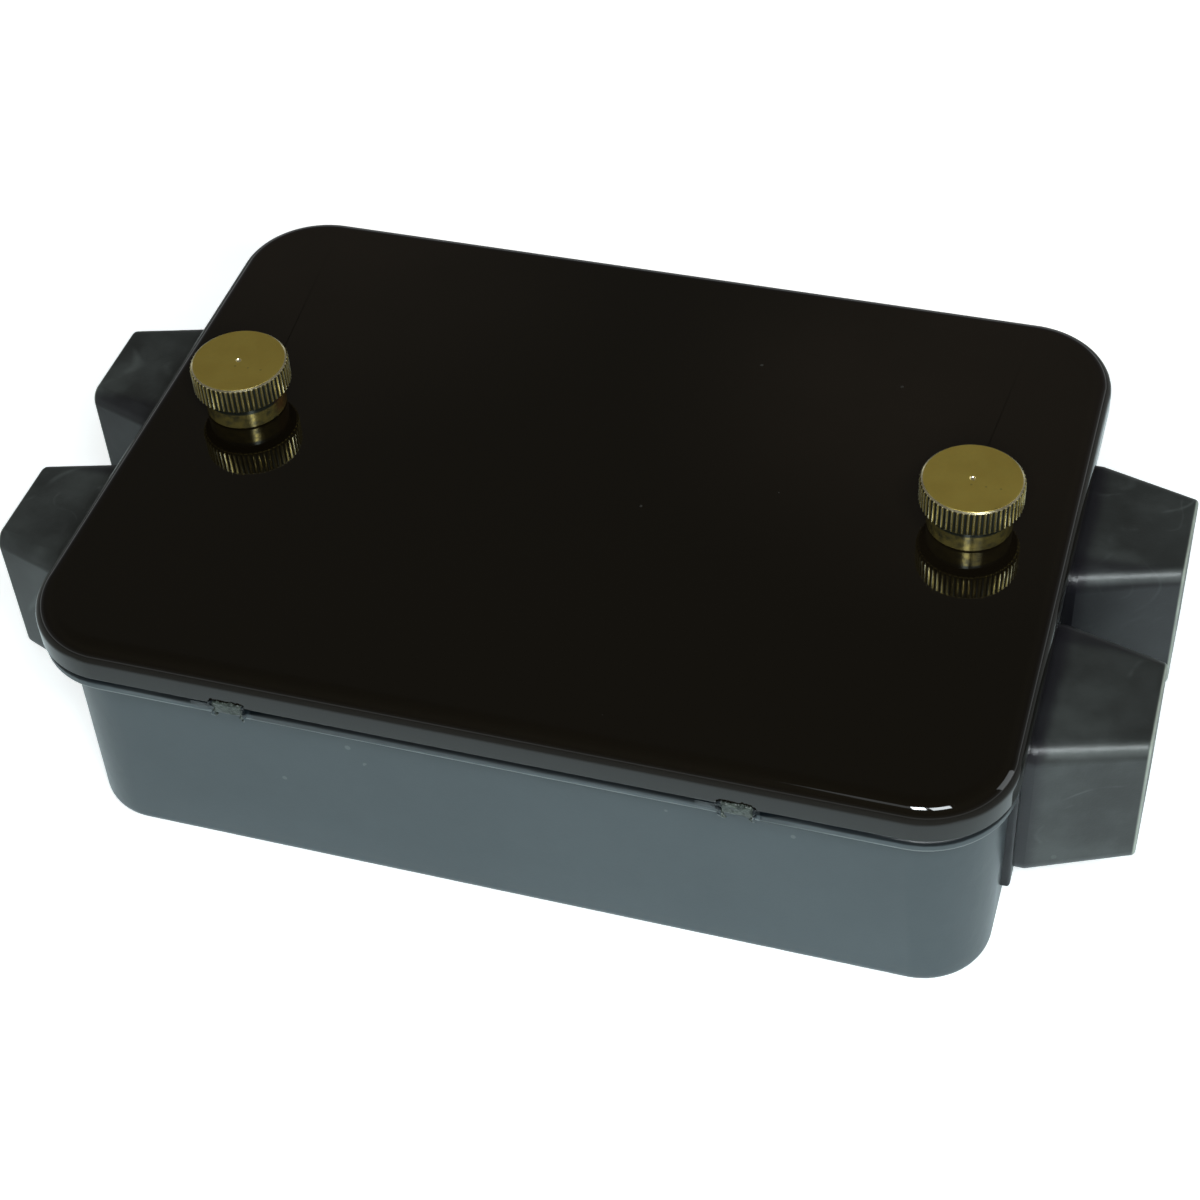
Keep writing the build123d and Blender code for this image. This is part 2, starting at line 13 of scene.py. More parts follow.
import bmesh
import bpy
from mathutils import Matrix, Vector, noise


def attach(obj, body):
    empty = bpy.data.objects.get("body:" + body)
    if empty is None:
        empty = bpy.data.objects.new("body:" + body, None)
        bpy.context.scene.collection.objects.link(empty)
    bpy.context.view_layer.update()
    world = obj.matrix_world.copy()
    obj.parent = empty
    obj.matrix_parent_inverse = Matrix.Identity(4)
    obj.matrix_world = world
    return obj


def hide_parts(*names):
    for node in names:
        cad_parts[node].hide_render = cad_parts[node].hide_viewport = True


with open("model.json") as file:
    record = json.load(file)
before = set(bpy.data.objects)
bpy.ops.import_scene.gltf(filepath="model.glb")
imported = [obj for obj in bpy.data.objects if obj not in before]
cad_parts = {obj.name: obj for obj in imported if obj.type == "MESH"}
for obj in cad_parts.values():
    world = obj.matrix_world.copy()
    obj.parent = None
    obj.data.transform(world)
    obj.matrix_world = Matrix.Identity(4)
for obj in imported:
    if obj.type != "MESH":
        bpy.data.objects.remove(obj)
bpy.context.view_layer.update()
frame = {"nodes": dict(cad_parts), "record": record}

nodes = frame["nodes"]
MM = 0.001

# %% [markdown]
# ## Camera
# The box was photographed from above its front right corner, with a long lens. A camera could be
# turned by hand until it looks right. Here its distance, turn, height and roll are named values, so
# that the frame can be checked against the pixels of the photograph, which is 1200 pixels wide.

# %% Camera
IMAGE_WIDTH = 1200
FOCAL_PIXELS = 2422.69
CENTRE_PIXEL = (592.2, 601.2)
SENSOR_WIDTH = 36.0
CAMERA_TURN = math.radians(20.05)
CAMERA_HEIGHT_ANGLE = math.radians(45.45)
CAMERA_ROLL = math.radians(-4.40)
CAMERA_DISTANCE = 398.36 * MM
CAMERA_TARGET = Vector((-0.05, -2.49, 20.27)) * MM


def make_camera():
    """The camera on a sphere round its target, rolled about its own line of sight."""
    back = Vector((math.sin(CAMERA_TURN) * math.cos(CAMERA_HEIGHT_ANGLE),
                   -math.cos(CAMERA_TURN) * math.cos(CAMERA_HEIGHT_ANGLE),
                   math.sin(CAMERA_HEIGHT_ANGLE)))
    data = bpy.data.cameras.new("camera")
    data.sensor_width = SENSOR_WIDTH
    data.lens = FOCAL_PIXELS / IMAGE_WIDTH * SENSOR_WIDTH
    data.shift_x = (IMAGE_WIDTH / 2 - CENTRE_PIXEL[0]) / IMAGE_WIDTH
    data.shift_y = (CENTRE_PIXEL[1] - IMAGE_WIDTH / 2) / IMAGE_WIDTH
    camera = bpy.data.objects.new("camera", data)
    bpy.context.scene.collection.objects.link(camera)
    look = (-back).to_track_quat("-Z", "Y").to_matrix().to_4x4()
    camera.matrix_world = (Matrix.Translation(CAMERA_TARGET + back * CAMERA_DISTANCE)
                           @ look @ Matrix.Rotation(CAMERA_ROLL, 4, "Z"))
    bpy.context.scene.camera = camera
    return camera


camera = make_camera()
print("camera at, in mm:", [round(v / MM, 1) for v in camera.matrix_world.translation])

# %% [markdown]
# ## Helpers for materials
# Every finish here is made of nodes. One small helper adds a node and sets or links its inputs, so
# that a finish reads as a recipe. A second makes a shader group with named sockets, for an effect
# that more than one finish uses.

# %% Node helpers


def put(tree, kind, inputs=None, **settings):
    """Add a node. An input that is given a socket is linked to it, any other value is set."""
    node = tree.nodes.new("ShaderNode" + kind)
    for name, value in settings.items():
        setattr(node, name, value)
    for key, value in (inputs or {}).items():
        if isinstance(value, bpy.types.NodeSocket):
            tree.links.new(value, node.inputs[key])
        else:
            node.inputs[key].default_value = value
    return node


def maths(tree, operation, first, second=0.0, third=0.0):
    node = put(tree, "Math", {0: first, 1: second, 2: third}, operation=operation)
    return node.outputs[0]


def remap(tree, value, low, high, to_low=0.0, to_high=1.0):
    """Stretch the range low to high onto a new range, smoothly and with stops at its ends."""
    names = {"Value": value, "From Min": low, "From Max": high, "To Min": to_low, "To Max": to_high}
    return put(tree, "MapRange", names, interpolation_type="SMOOTHSTEP").outputs["Result"]


def mix_colours(tree, factor, first, second):
    node = put(tree, "Mix", {0: factor}, data_type="RGBA")
    for index, colour in ((6, first), (7, second)):
        if isinstance(colour, bpy.types.NodeSocket):
            tree.links.new(colour, node.inputs[index])
        else:
            node.inputs[index].default_value = (*colour, 1)
    return node.outputs[2]


def new_group(name, inputs, outputs):
    """A shader group whose first input is always the place on the piece."""
    tree = bpy.data.node_groups.new(name, "ShaderNodeTree")
    tree.interface.new_socket("Place", in_out="INPUT", socket_type="NodeSocketVector")
    for socket, value in inputs.items():
        made = tree.interface.new_socket(socket, in_out="INPUT", socket_type="NodeSocketFloat")
        made.default_value = value
    for socket in outputs:
        tree.interface.new_socket(socket, in_out="OUTPUT", socket_type="NodeSocketFloat")
    return tree, tree.nodes.new("NodeGroupInput").outputs, tree.nodes.new("NodeGroupOutput").inputs


def use_group(tree, name, place, **values):
    inputs = {"Place": place}
    inputs.update({key.replace("_", " "): value for key, value in values.items()})
    node = tree.nodes.new("ShaderNodeGroup")
    node.node_tree = bpy.data.node_groups[name]
    for key, value in inputs.items():
        if isinstance(value, bpy.types.NodeSocket):
            tree.links.new(value, node.inputs[key])
        else:
            node.inputs[key].default_value = value
    return node.outputs


print("helpers ready")

# %% [markdown]
# ## Effects that several finishes share
# Clouds are the soft patches of any moulded or painted surface. Specks are dust and grit. Scratches
# are thin wandering lines that come and go. Lathe lines are the rings that a turning tool leaves.
# Worn edges compare the true surface with a slightly rounded one, so that sharp edges stand out.
# All sizes are in metres, and an effect puts out only a mask or a height.

# %% Shared effects


def clouds_group():
    tree, given, result = new_group("clouds", {"Scale": 60.0, "Contrast": 0.5}, ["Mask"])
    pattern = put(tree, "TexNoise", {"Vector": given["Place"], "Scale": given["Scale"], "Detail": 5.0,
                                     "Roughness": 0.6})
    half = maths(tree, "MULTIPLY", given["Contrast"], 0.5)
    low = maths(tree, "SUBTRACT", 0.5, half)
    high = maths(tree, "ADD", 0.5, half)
    tree.links.new(remap(tree, pattern.outputs[0], low, high), result["Mask"])


def specks_group():
    tree, given, result = new_group("specks", {"Scale": 400.0, "Share": 0.1, "Size": 0.2}, ["Mask"])
    cells = put(tree, "TexVoronoi", {"Vector": given["Place"], "Scale": given["Scale"]})
    split = put(tree, "SeparateColor", {"Color": cells.outputs["Color"]})
    reach = maths(tree, "MULTIPLY", given["Size"], split.outputs["Green"])
    inside = maths(tree, "LESS_THAN", cells.outputs["Distance"], reach)
    chosen = maths(tree, "LESS_THAN", split.outputs["Red"], given["Share"])
    tree.links.new(maths(tree, "MULTIPLY", inside, chosen), result["Mask"])


def scratches_group():
    tree, given, result = new_group("scratches", {"Scale": 20.0, "Thinness": 0.004, "Share": 0.5},
                                    ["Mask"])
    wander = put(tree, "TexNoise", {"Vector": given["Place"], "Scale": given["Scale"], "Detail": 1.0})
    off_line = maths(tree, "ABSOLUTE", maths(tree, "SUBTRACT", wander.outputs[0], 0.5))
    line = maths(tree, "SUBTRACT", 1.0, remap(tree, off_line, 0.0, given["Thinness"]))
    breaks_scale = maths(tree, "MULTIPLY", given["Scale"], 2.7)
    breaks = put(tree, "TexNoise", {"Vector": given["Place"], "Scale": breaks_scale, "Detail": 3.0})
    low = maths(tree, "SUBTRACT", 1.0, given["Share"])
    high = maths(tree, "ADD", low, 0.15)
    kept = remap(tree, breaks.outputs[0], low, high)
    tree.links.new(maths(tree, "MULTIPLY", line, kept), result["Mask"])


def lathe_lines_group():
    tree, given, result = new_group("lathe_lines", {"Scale": 4000.0}, ["Height"])
    split = put(tree, "SeparateXYZ", {"Vector": given["Place"]})
    flat = put(tree, "CombineXYZ", {"X": split.outputs["X"], "Y": split.outputs["Y"]})
    radius = put(tree, "VectorMath", {0: flat.outputs[0]}, operation="LENGTH").outputs["Value"]
    along = maths(tree, "ADD", radius, split.outputs["Z"])
    rings = put(tree, "TexNoise", {"W": along, "Scale": given["Scale"], "Detail": 3.0},
                noise_dimensions="1D")
    tree.links.new(rings.outputs[0], result["Height"])


def worn_edges_group():
    tree, given, result = new_group("worn_edges", {"Width": 0.0004, "Wear": 0.5}, ["Mask"])
    rounded = put(tree, "Bevel", {"Radius": given["Width"]}, samples=4)
    surface = put(tree, "NewGeometry")
    match = put(tree, "VectorMath", {0: rounded.outputs[0], 1: surface.outputs["Normal"]},
                operation="DOT_PRODUCT").outputs["Value"]
    edge = remap(tree, match, 0.995, 0.9)
    patches = put(tree, "TexNoise", {"Vector": given["Place"], "Scale": 700.0, "Detail": 4.0})
    low = maths(tree, "SUBTRACT", 0.9, given["Wear"])
    worn = remap(tree, patches.outputs[0], low, maths(tree, "ADD", low, 0.25))
    tree.links.new(maths(tree, "MULTIPLY", edge, worn), result["Mask"])


for build in (clouds_group, specks_group, scratches_group, lathe_lines_group, worn_edges_group):
    build()
print("effects:", [group.name for group in bpy.data.node_groups])

# %% Start of a finish


def start_finish(name, roughness, metallic=0.0, centre=(0, 0, 0)):
    """A material with its shader and the place on the piece, measured from a centre."""
    material = bpy.data.materials.new(name)
    material.use_nodes = True
    tree = material.node_tree
    shader = tree.nodes["Principled BSDF"]
    shader.inputs["Roughness"].default_value = roughness
    shader.inputs["Metallic"].default_value = metallic
    place = put(tree, "TexCoord").outputs["Object"]
    offset = tuple(-value for value in centre)
    place = put(tree, "Mapping", {"Vector": place, "Location": offset}).outputs[0]
    return material, tree, shader, place


def connect(tree, shader, **sockets):
    for name, socket in sockets.items():
        tree.links.new(socket, shader.inputs[name.replace("_", " ")])


def bump(tree, height, depth, distance):
    """A relief of this height, with the depth as its strength and the given distance."""
    node = put(tree, "Bump", {"Height": height, "Strength": depth, "Distance": distance})
    return node.outputs[0]


# %% [markdown]
# ## Floor, world and lamps
# A black gloss lid shows whatever is round it, so the room is part of its finish. The floor is white
# paper near the box and dimmer further off, which keeps the lid's rounded rim dark and its edge
# lines thin. It glows for the camera and a little for reflections, which makes the background white
# without more light on the box. The sky is dim above and at the front, so that the lid stays black,
# and pale at the horizon, which draws thin light lines round the lid. A small strong lamp gives the
# bright spot on the lid's front corner and the light ridges of the rubber, where a painted highlight
# on the right gland adds to it. One near the camera gives the streaks on the brass, a dim window
# gives the soft line that leads to the spot, and one at the side lights the far edges. Two broad
# ones, which the gloss doesn't mirror, light the rest.

# %% Floor
FLOOR_RADIUS = 30.0
PAPER = (0.76, 0.84, 0.86)
BEYOND_PAPER = (0.3, 0.3, 0.29)
GLOW_TINT = (0.8, 1.0, 1.04)
GLOW_SEEN = 0.64
GLOW_SEEN_BEYOND = 1.0
GLOW_MIRRORED = 0.18
GLOW_MIRRORED_BEYOND = 0.04
PAPER_HALF = (0.076, 0.0545)
PAPER_FADE = (0.032, 0.07)


def make_floor():
    bm = bmesh.new()
    bmesh.ops.create_circle(bm, cap_ends=True, segments=96, radius=FLOOR_RADIUS)
    mesh = bpy.data.meshes.new("floor")
    bm.to_mesh(mesh)
    bm.free()
    floor = bpy.data.objects.new("floor", mesh)
    bpy.context.scene.collection.objects.link(floor)
    material = bpy.data.materials.new("floor_paper")
    material.use_nodes = True
    tree = material.node_tree
    shader = tree.nodes["Principled BSDF"]
    shader.inputs["Roughness"].default_value = 0.9
    shader.inputs["Specular IOR Level"].default_value = 0.1
    place = put(tree, "TexCoord").outputs["Object"]
    size = put(tree, "VectorMath", {0: place}, operation="ABSOLUTE").outputs[0]
    split = put(tree, "SeparateXYZ", {0: size})
    out = maths(tree, "MAXIMUM", maths(tree, "SUBTRACT", split.outputs["X"], PAPER_HALF[0]),
                maths(tree, "SUBTRACT", split.outputs["Y"], PAPER_HALF[1]))
    beyond = remap(tree, out, *PAPER_FADE)
    tree.links.new(mix_colours(tree, beyond, PAPER, BEYOND_PAPER), shader.inputs["Base Color"])
    ray = put(tree, "LightPath").outputs
    mirrored = maths(tree, "MAXIMUM", ray["Is Glossy Ray"], ray["Is Transmission Ray"])
    mirrored = maths(tree, "MULTIPLY", mirrored,
                     remap(tree, beyond, 0, 1, GLOW_MIRRORED, GLOW_MIRRORED_BEYOND))
    glow = maths(tree, "MULTIPLY_ADD", ray["Is Camera Ray"],
                 remap(tree, beyond, 0, 1, GLOW_SEEN, GLOW_SEEN_BEYOND), mirrored)
    tree.links.new(glow, shader.inputs["Emission Strength"])
    tint = mix_colours(tree, ray["Is Camera Ray"], GLOW_TINT, (1, 1, 1))
    tree.links.new(tint, shader.inputs["Emission Color"])
    floor.data.materials.append(material)


make_floor()
print("paper", PAPER, "with a glow of", GLOW_SEEN, "and mirrored", GLOW_MIRRORED)

# %% World and lamps
SKY = [(0.0, (0.88, 0.92, 0.93)), (0.05, (0.6, 0.63, 0.64)), (0.13, (0.16, 0.165, 0.17)),
       (0.35, (0.07, 0.066, 0.066)), (0.62, (0.09, 0.085, 0.075)), (1.0, (0.05, 0.048, 0.046))]


def make_world():
    """The sky's colour for each height, given as the sine of its angle above the horizon."""
    world = bpy.data.worlds.new("room")
    bpy.context.scene.world = world
    world.use_nodes = True
    tree = world.node_tree
    background = tree.nodes["Background"]
    height = put(tree, "SeparateXYZ", {0: put(tree, "TexCoord").outputs["Generated"]}).outputs["Z"]
    ramp = put(tree, "ValToRGB", {"Fac": height})
    stops = ramp.color_ramp.elements
    while len(stops) < len(SKY):
        stops.new(0.5)
    for stop, (position, colour) in zip(stops, SKY):
        stop.position = position
        stop.color = (*colour, 1)
    tree.links.new(ramp.outputs["Color"], background.inputs["Color"])
    background.inputs["Strength"].default_value = 1.0


COOL = (0.93, 1.0, 1.03)
WARM = (1.0, 0.96, 0.86)


def add_lamp(name, turn, height, distance, size, power, tint, in_gloss=True):
    """A lamp of this width and depth aimed at the box, turned from the front to the right."""
    turn, height = math.radians(turn), math.radians(height)
    place = Vector((math.sin(turn) * math.cos(height), -math.cos(turn) * math.cos(height),
                    math.sin(height))) * distance
    data = bpy.data.lights.new(name, "AREA")
    data.shape = "RECTANGLE"
    data.size, data.size_y = size
    data.energy = power
    data.color = tint
    lamp = bpy.data.objects.new(name, data)
    bpy.context.scene.collection.objects.link(lamp)
    lamp.location = place
    lamp.rotation_euler = (Vector((0, 0, 0.02)) - place).to_track_quat("-Z", "Y").to_euler()
    lamp.visible_glossy = in_gloss
    lamp.visible_camera = False
    print(name, "at", [round(v, 2) for v in place], "m,", power, "W")


make_world()
add_lamp("lamp_key", 36.5, 51, 1.6, (0.42, 0.34), 7.6, COOL)
add_lamp("lamp_flash", 23, 48, 0.3, (0.045, 0.045), 0.3, COOL)
add_lamp("lamp_window", 19, 54, 1.6, (1.0, 0.25), 0.75, COOL)
add_lamp("lamp_side", 104, 16, 1.6, (0.6, 0.6), 2.2, COOL)
add_lamp("lamp_front", 14, 20, 1.8, (1.2, 1.2), 14.0, COOL, in_gloss=False)
add_lamp("lamp_above", -20, 74, 1.8, (1.2, 1.2), 4.2, WARM, in_gloss=False)

# %% [markdown]
# ## Helper for new pieces
# A bmesh is shaped with the same operators as in the editor and then becomes an object. The object
# stays at the origin, because its place is in its mesh. It rides on a body of the model, stands for
# a solid of the model, and takes the finish that it is given.

# %% Piece helper


def make_piece(name, bm, material, body, node=None, sharp=None):
    """Turn a bmesh into an object with smooth faces, sharp where they meet at a large angle."""
    bmesh.ops.recalc_face_normals(bm, faces=bm.faces)
    mesh = bpy.data.meshes.new(name)
    bm.to_mesh(mesh)
    bm.free()
    mesh.shade_smooth()
    if sharp is not None:
        mesh.set_sharp_from_angle(angle=math.radians(sharp))
    piece = bpy.data.objects.new(name, mesh)
    bpy.context.scene.collection.objects.link(piece)
    mesh.materials.append(material)
    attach(piece, body)
    if node:
        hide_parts(node)
    print(name, len(mesh.polygons), "faces")
    return piece


def add_modifier(piece, kind, **settings):
    modifier = piece.modifiers.new(kind.lower(), kind)
    for name, value in settings.items():
        setattr(modifier, name, value)


# %% [markdown]
# ## The lid's paint
# The lid is deep black stove enamel: a near mirror with a slightly brown cast. A plain glossy
# material would look like glass. Real paint has a faint wave and some dust that settled while it was
# wet. Here the paint is also a paler brown in soft patches near the two back corners, and its shine
# varies in clouds.

# %% Lid paint
LID_BLACK = (0.0036, 0.0026, 0.0012)
LID_PALE = (0.0125, 0.009, 0.006)
LID_DUST = (0.045, 0.045, 0.04)
# Two places near the back corners where the paint is a paler brown, with their strengths.
PALE_PATCHES = {(-0.062, 0.045, 0.046): 0.8, (0.055, 0.035, 0.046): 1.0}


def lid_paint():
    material, tree, shader, place = start_finish("lid_paint", 0.03)
    lid_clouds = use_group(tree, "clouds", place, Scale=18.0, Contrast=0.5)["Mask"]
    # A paler brown in soft patches near the two back corners.
    paler = 0.0
    for centre, strength in PALE_PATCHES.items():
        away = put(tree, "VectorMath", {0: place, 1: centre}, operation="DISTANCE")
        near = remap(tree, away.outputs["Value"], 0.06, 0.0, 0.0, strength)
        paler = maths(tree, "MAXIMUM", paler, near)
    paler = maths(tree, "MULTIPLY", paler, maths(tree, "MULTIPLY_ADD", lid_clouds, 0.5, 0.5))
    dust = use_group(tree, "specks", place, Scale=300.0, Share=0.02, Size=0.13)["Mask"]
    colour = mix_colours(tree, paler, LID_BLACK, LID_PALE)
    colour = mix_colours(tree, maths(tree, "MULTIPLY", dust, 0.6), colour, LID_DUST)
    wave = use_group(tree, "clouds", place, Scale=55.0, Contrast=1.0)["Mask"]
    roughness = maths(tree, "MULTIPLY_ADD", lid_clouds, 0.03, 0.025)
    roughness = maths(tree, "MULTIPLY_ADD", dust, 0.25, roughness)
    connect(tree, shader, Base_Color=colour, Roughness=roughness,
            Normal=bump(tree, wave, 0.02, 0.0003))
    return material


paint = lid_paint()
print("made", paint.name)

# %% [markdown]
# ## The lid
# The lid is one sheet of steel, pressed to a shallow pan: its corners turn down in a wide curve, its
# rim in a tight one, and the skirt ends in a cut edge under the paint. It could be carved out of a
# solid. Here it is made as the press makes it. A block gets round corners, loses its underside, has
# its rim rounded and becomes a sheet of even thickness.

# %% Lid
LID_LENGTH, LID_WIDTH, LID_DEPTH = 152.0, 109.0, 6.5
LID_TOP = 46.2
LID_CORNER = 14.2
LID_RIM = 3.2
LID_SHEET = 1.2
SCREW_X = 59.8
SCREW_Y = 3.6
LID_HOLE = 5.6


def bevel_edges(bm, edges, size, segments):
    bmesh.ops.bevel(bm, geom=edges, offset=size, offset_type="OFFSET", segments=segments,
                    profile=0.5, affect="EDGES", material=-1)
    bm.normal_update()


def pressed_lid():
    bm = bmesh.new()
    bmesh.ops.create_cube(bm, size=1)
    bmesh.ops.scale(bm, vec=(LID_LENGTH * MM, LID_WIDTH * MM, LID_DEPTH * MM), verts=bm.verts)
    bmesh.ops.translate(bm, vec=(0, 0, (LID_TOP - LID_DEPTH / 2) * MM), verts=bm.verts)
    uprights = [edge for edge in bm.edges
                if abs(edge.verts[0].co.z - edge.verts[1].co.z) > LID_DEPTH / 2 * MM]
    bevel_edges(bm, uprights, LID_CORNER * MM, 24)
    bmesh.ops.delete(bm, geom=[face for face in bm.faces if face.normal.z < -0.5], context="FACES")
    top = next(face for face in bm.faces if face.normal.z > 0.5)
    bevel_edges(bm, list(top.edges), LID_RIM * MM, 9)
    return bm


def pierce_lid(bm):
    """Fill the flat top again, round the two screw holes."""
    top = next(face for face in bm.faces if face.normal.z > 0.999)
    outline = list(top.edges)
    bmesh.ops.delete(bm, geom=[top], context="FACES_ONLY")
    for side in (-1, 1):
        place = Matrix.Translation((side * SCREW_X * MM, SCREW_Y * MM, LID_TOP * MM))
        ring = bmesh.ops.create_circle(bm, segments=32, radius=LID_HOLE / 2 * MM, matrix=place)
        outline += list({edge for vert in ring["verts"] for edge in vert.link_edges})
    bmesh.ops.triangle_fill(bm, edges=outline, use_beauty=True, use_dissolve=False)


lid_mesh = pressed_lid()
pierce_lid(lid_mesh)
lid_piece = make_piece("pressed_lid", lid_mesh, paint, "lid", "lid")
add_modifier(lid_piece, "SOLIDIFY", thickness=LID_SHEET * MM, offset=-1, use_even_offset=True)
add_modifier(lid_piece, "BEVEL", width=0.3 * MM, segments=3, limit_method="ANGLE",
             angle_limit=math.radians(60))
add_modifier(lid_piece, "WEIGHTED_NORMAL", keep_sharp=True)

# %% [markdown]
# ## The brass
# The thumb screws are turned from free-cutting brass. The flat top has dulled to a deep yellow with
# faint tarnish, the turned collar, darkened in clouds, shines in streaks, and the knurl is darker in
# its grooves. Painted shade darkens the neck's gap and a band on the collar under the head, and pale
# colours paint highlights on the knurl's crests, the top chamfer and the centre mark. Each part could
# have a material of its own. Here one does them all: the height on the screw says which part it is,
# and the distance from the axis tells a groove of the knurl from a crest.

# %% Screw brass
BRASS = (0.8, 0.6, 0.13)
BRASS_TARNISH = (0.56, 0.44, 0.1)
# Pale colours that paint highlights on the knurl's crests, and on the top chamfer and centre mark.
BRASS_CREST_HIGHLIGHT = (0.85, 0.82, 0.55)
BRASS_EDGE_HIGHLIGHT = (0.95, 0.88, 0.62)
# A dark colour for grit, for the knurl's grooves and the collar, and for painted shade.
BRASS_GRIME_AND_SHADE = (0.03, 0.034, 0.026)
RED_RUST = (0.16, 0.035, 0.012)
RUST_PLACE = (0.0062, 0.0005, 0.0485)
RUST_REACH = (3.6, 1.2)
# Heights of the painted shadow on the collar under the head, and of the painted shade in the neck.
COLLAR_SHADOW_Z = (48.5, 49.3)
COLLAR_TOP_Z = 50.2
NECK_LOW_Z, NECK_HIGH_Z = 50.0, 50.7
KNURL_LOW_Z, KNURL_HIGH_Z = 50.8, 54.92
CHAMFER_LOW_Z, TOP_FACE_Z = 54.98, 55.27
GROOVE_RADII = (7.95, 7.7)
CREST_RADII = (7.88, 7.98)


def screw_brass(side):
    centre = (side * SCREW_X * MM, SCREW_Y * MM, 0)
    material, tree, shader, place = start_finish("screw_brass", 0.3, 1.0, centre)
    split = put(tree, "SeparateXYZ", {0: place})
    flat = put(tree, "CombineXYZ", {"X": split.outputs["X"], "Y": split.outputs["Y"]})
    radius = put(tree, "VectorMath", {0: flat.outputs[0]}, operation="LENGTH").outputs["Value"]
    height = split.outputs["Z"]
    on_top = maths(tree, "GREATER_THAN", height, TOP_FACE_Z * MM)
    above_neck = maths(tree, "GREATER_THAN", height, KNURL_LOW_Z * MM)
    below_edge = maths(tree, "LESS_THAN", height, KNURL_HIGH_Z * MM)
    on_knurl = maths(tree, "MULTIPLY", above_neck, below_edge)
    on_edge = maths(tree, "MULTIPLY", maths(tree, "GREATER_THAN", height, CHAMFER_LOW_Z * MM),
                    maths(tree, "SUBTRACT", 1.0, on_top))
    # Painted shade: the neck's gap under the head is painted dark.
    neck_shade = maths(tree, "MULTIPLY", maths(tree, "GREATER_THAN", height, NECK_LOW_Z * MM),
                   maths(tree, "LESS_THAN", height, NECK_HIGH_Z * MM))
    on_collar = maths(tree, "LESS_THAN", height, COLLAR_TOP_Z * MM)
    groove = remap(tree, radius, GROOVE_RADII[0] * MM, GROOVE_RADII[1] * MM)
    crest = remap(tree, radius, CREST_RADII[0] * MM, CREST_RADII[1] * MM)
    tarnish = use_group(tree, "clouds", place, Scale=330.0, Contrast=0.7)["Mask"]
    spots = use_group(tree, "specks", place, Scale=900.0, Share=0.05, Size=0.25)["Mask"]
    colour = mix_colours(tree, maths(tree, "MULTIPLY", tarnish, 0.5), BRASS, BRASS_TARNISH)
    colour = mix_colours(tree, maths(tree, "MULTIPLY", spots, 0.3), colour, BRASS_GRIME_AND_SHADE)
    # Painted highlight: the knurl's crests get a pale colour.
    colour = mix_colours(tree, maths(tree, "MULTIPLY", on_knurl, crest), colour, BRASS_CREST_HIGHLIGHT)
    patchy = maths(tree, "MULTIPLY_ADD", tarnish, 0.3, 0.15)
    # The knurl is darker in its grooves and in patches.
    shade_and_dirt = maths(tree, "MULTIPLY", on_knurl, maths(tree, "MAXIMUM", groove, patchy))
    shade_and_dirt = maths(tree, "MAXIMUM", shade_and_dirt, neck_shade)
    # The collar is darkened in clouds, and a painted shadow makes a dark band at its top, under the
    # head.
    collar_darkening = use_group(tree, "clouds", place, Scale=700.0, Contrast=0.5)["Mask"]
    head_shadow = remap(tree, height, COLLAR_SHADOW_Z[0] * MM, COLLAR_SHADOW_Z[1] * MM)
    collar_darkening = maths(tree, "MAXIMUM", head_shadow, maths(tree, "MULTIPLY_ADD", collar_darkening, 0.35, 0.62))
    collar_darkening = maths(tree, "MULTIPLY", on_collar, collar_darkening)
    shade_and_dirt = maths(tree, "MAXIMUM", shade_and_dirt, collar_darkening)
    # Painted highlight: the top chamfer and the centre mark get a pale, whitish colour.
    colour = mix_colours(tree, maths(tree, "MULTIPLY", on_edge, 0.8), colour, BRASS_EDGE_HIGHLIGHT)
    colour = mix_colours(tree, shade_and_dirt, colour, BRASS_GRIME_AND_SHADE)
    if side < 0:
        off_rust = put(tree, "VectorMath", {0: place, 1: RUST_PLACE}, operation="DISTANCE")
        rust = remap(tree, off_rust.outputs["Value"], RUST_REACH[0] * MM, RUST_REACH[1] * MM)
        rust = maths(tree, "MULTIPLY", rust, maths(tree, "MULTIPLY_ADD", tarnish, 0.6, 0.2))
        colour = mix_colours(tree, rust, colour, RED_RUST)
    lines = use_group(tree, "lathe_lines", place, Scale=5200.0)["Height"]
    roughness = maths(tree, "MULTIPLY_ADD", on_top, 0.24, 0.17)
    roughness = maths(tree, "MULTIPLY_ADD", tarnish, 0.1, roughness)
    roughness = maths(tree, "MULTIPLY_ADD", shade_and_dirt, 0.12, roughness)
    roughness = maths(tree, "MULTIPLY_ADD", on_collar, -0.13, roughness)
    film = maths(tree, "MULTIPLY_ADD", on_top, 0.04, maths(tree, "MULTIPLY", tarnish, 0.05))
    metallic = maths(tree, "SUBTRACT", 0.96, maths(tree, "MULTIPLY_ADD", shade_and_dirt, 0.25, film))
    connect(tree, shader, Base_Color=colour, Roughness=roughness, Metallic=metallic,
            Normal=bump(tree, lines, 0.16, 0.00004))
    return material


# %% [markdown]
# ## The thumb screws
# A thumb screw is one turned bar: a threaded shank, a collar that presses on the lid, a short neck
# and a wide head with a straight knurl, chamfered top and bottom, with a small centre mark left by
# the lathe. The knurl could be a texture, but the light on it needs real grooves. Half of the
# outline, spun about the axis, gives the whole screw. Of every four lines round the head one then
# stays for the crest of a rib, one is pushed in for the groove, and the two between them are pushed
# in less. The thread is a small triangle that is spun while it climbs.

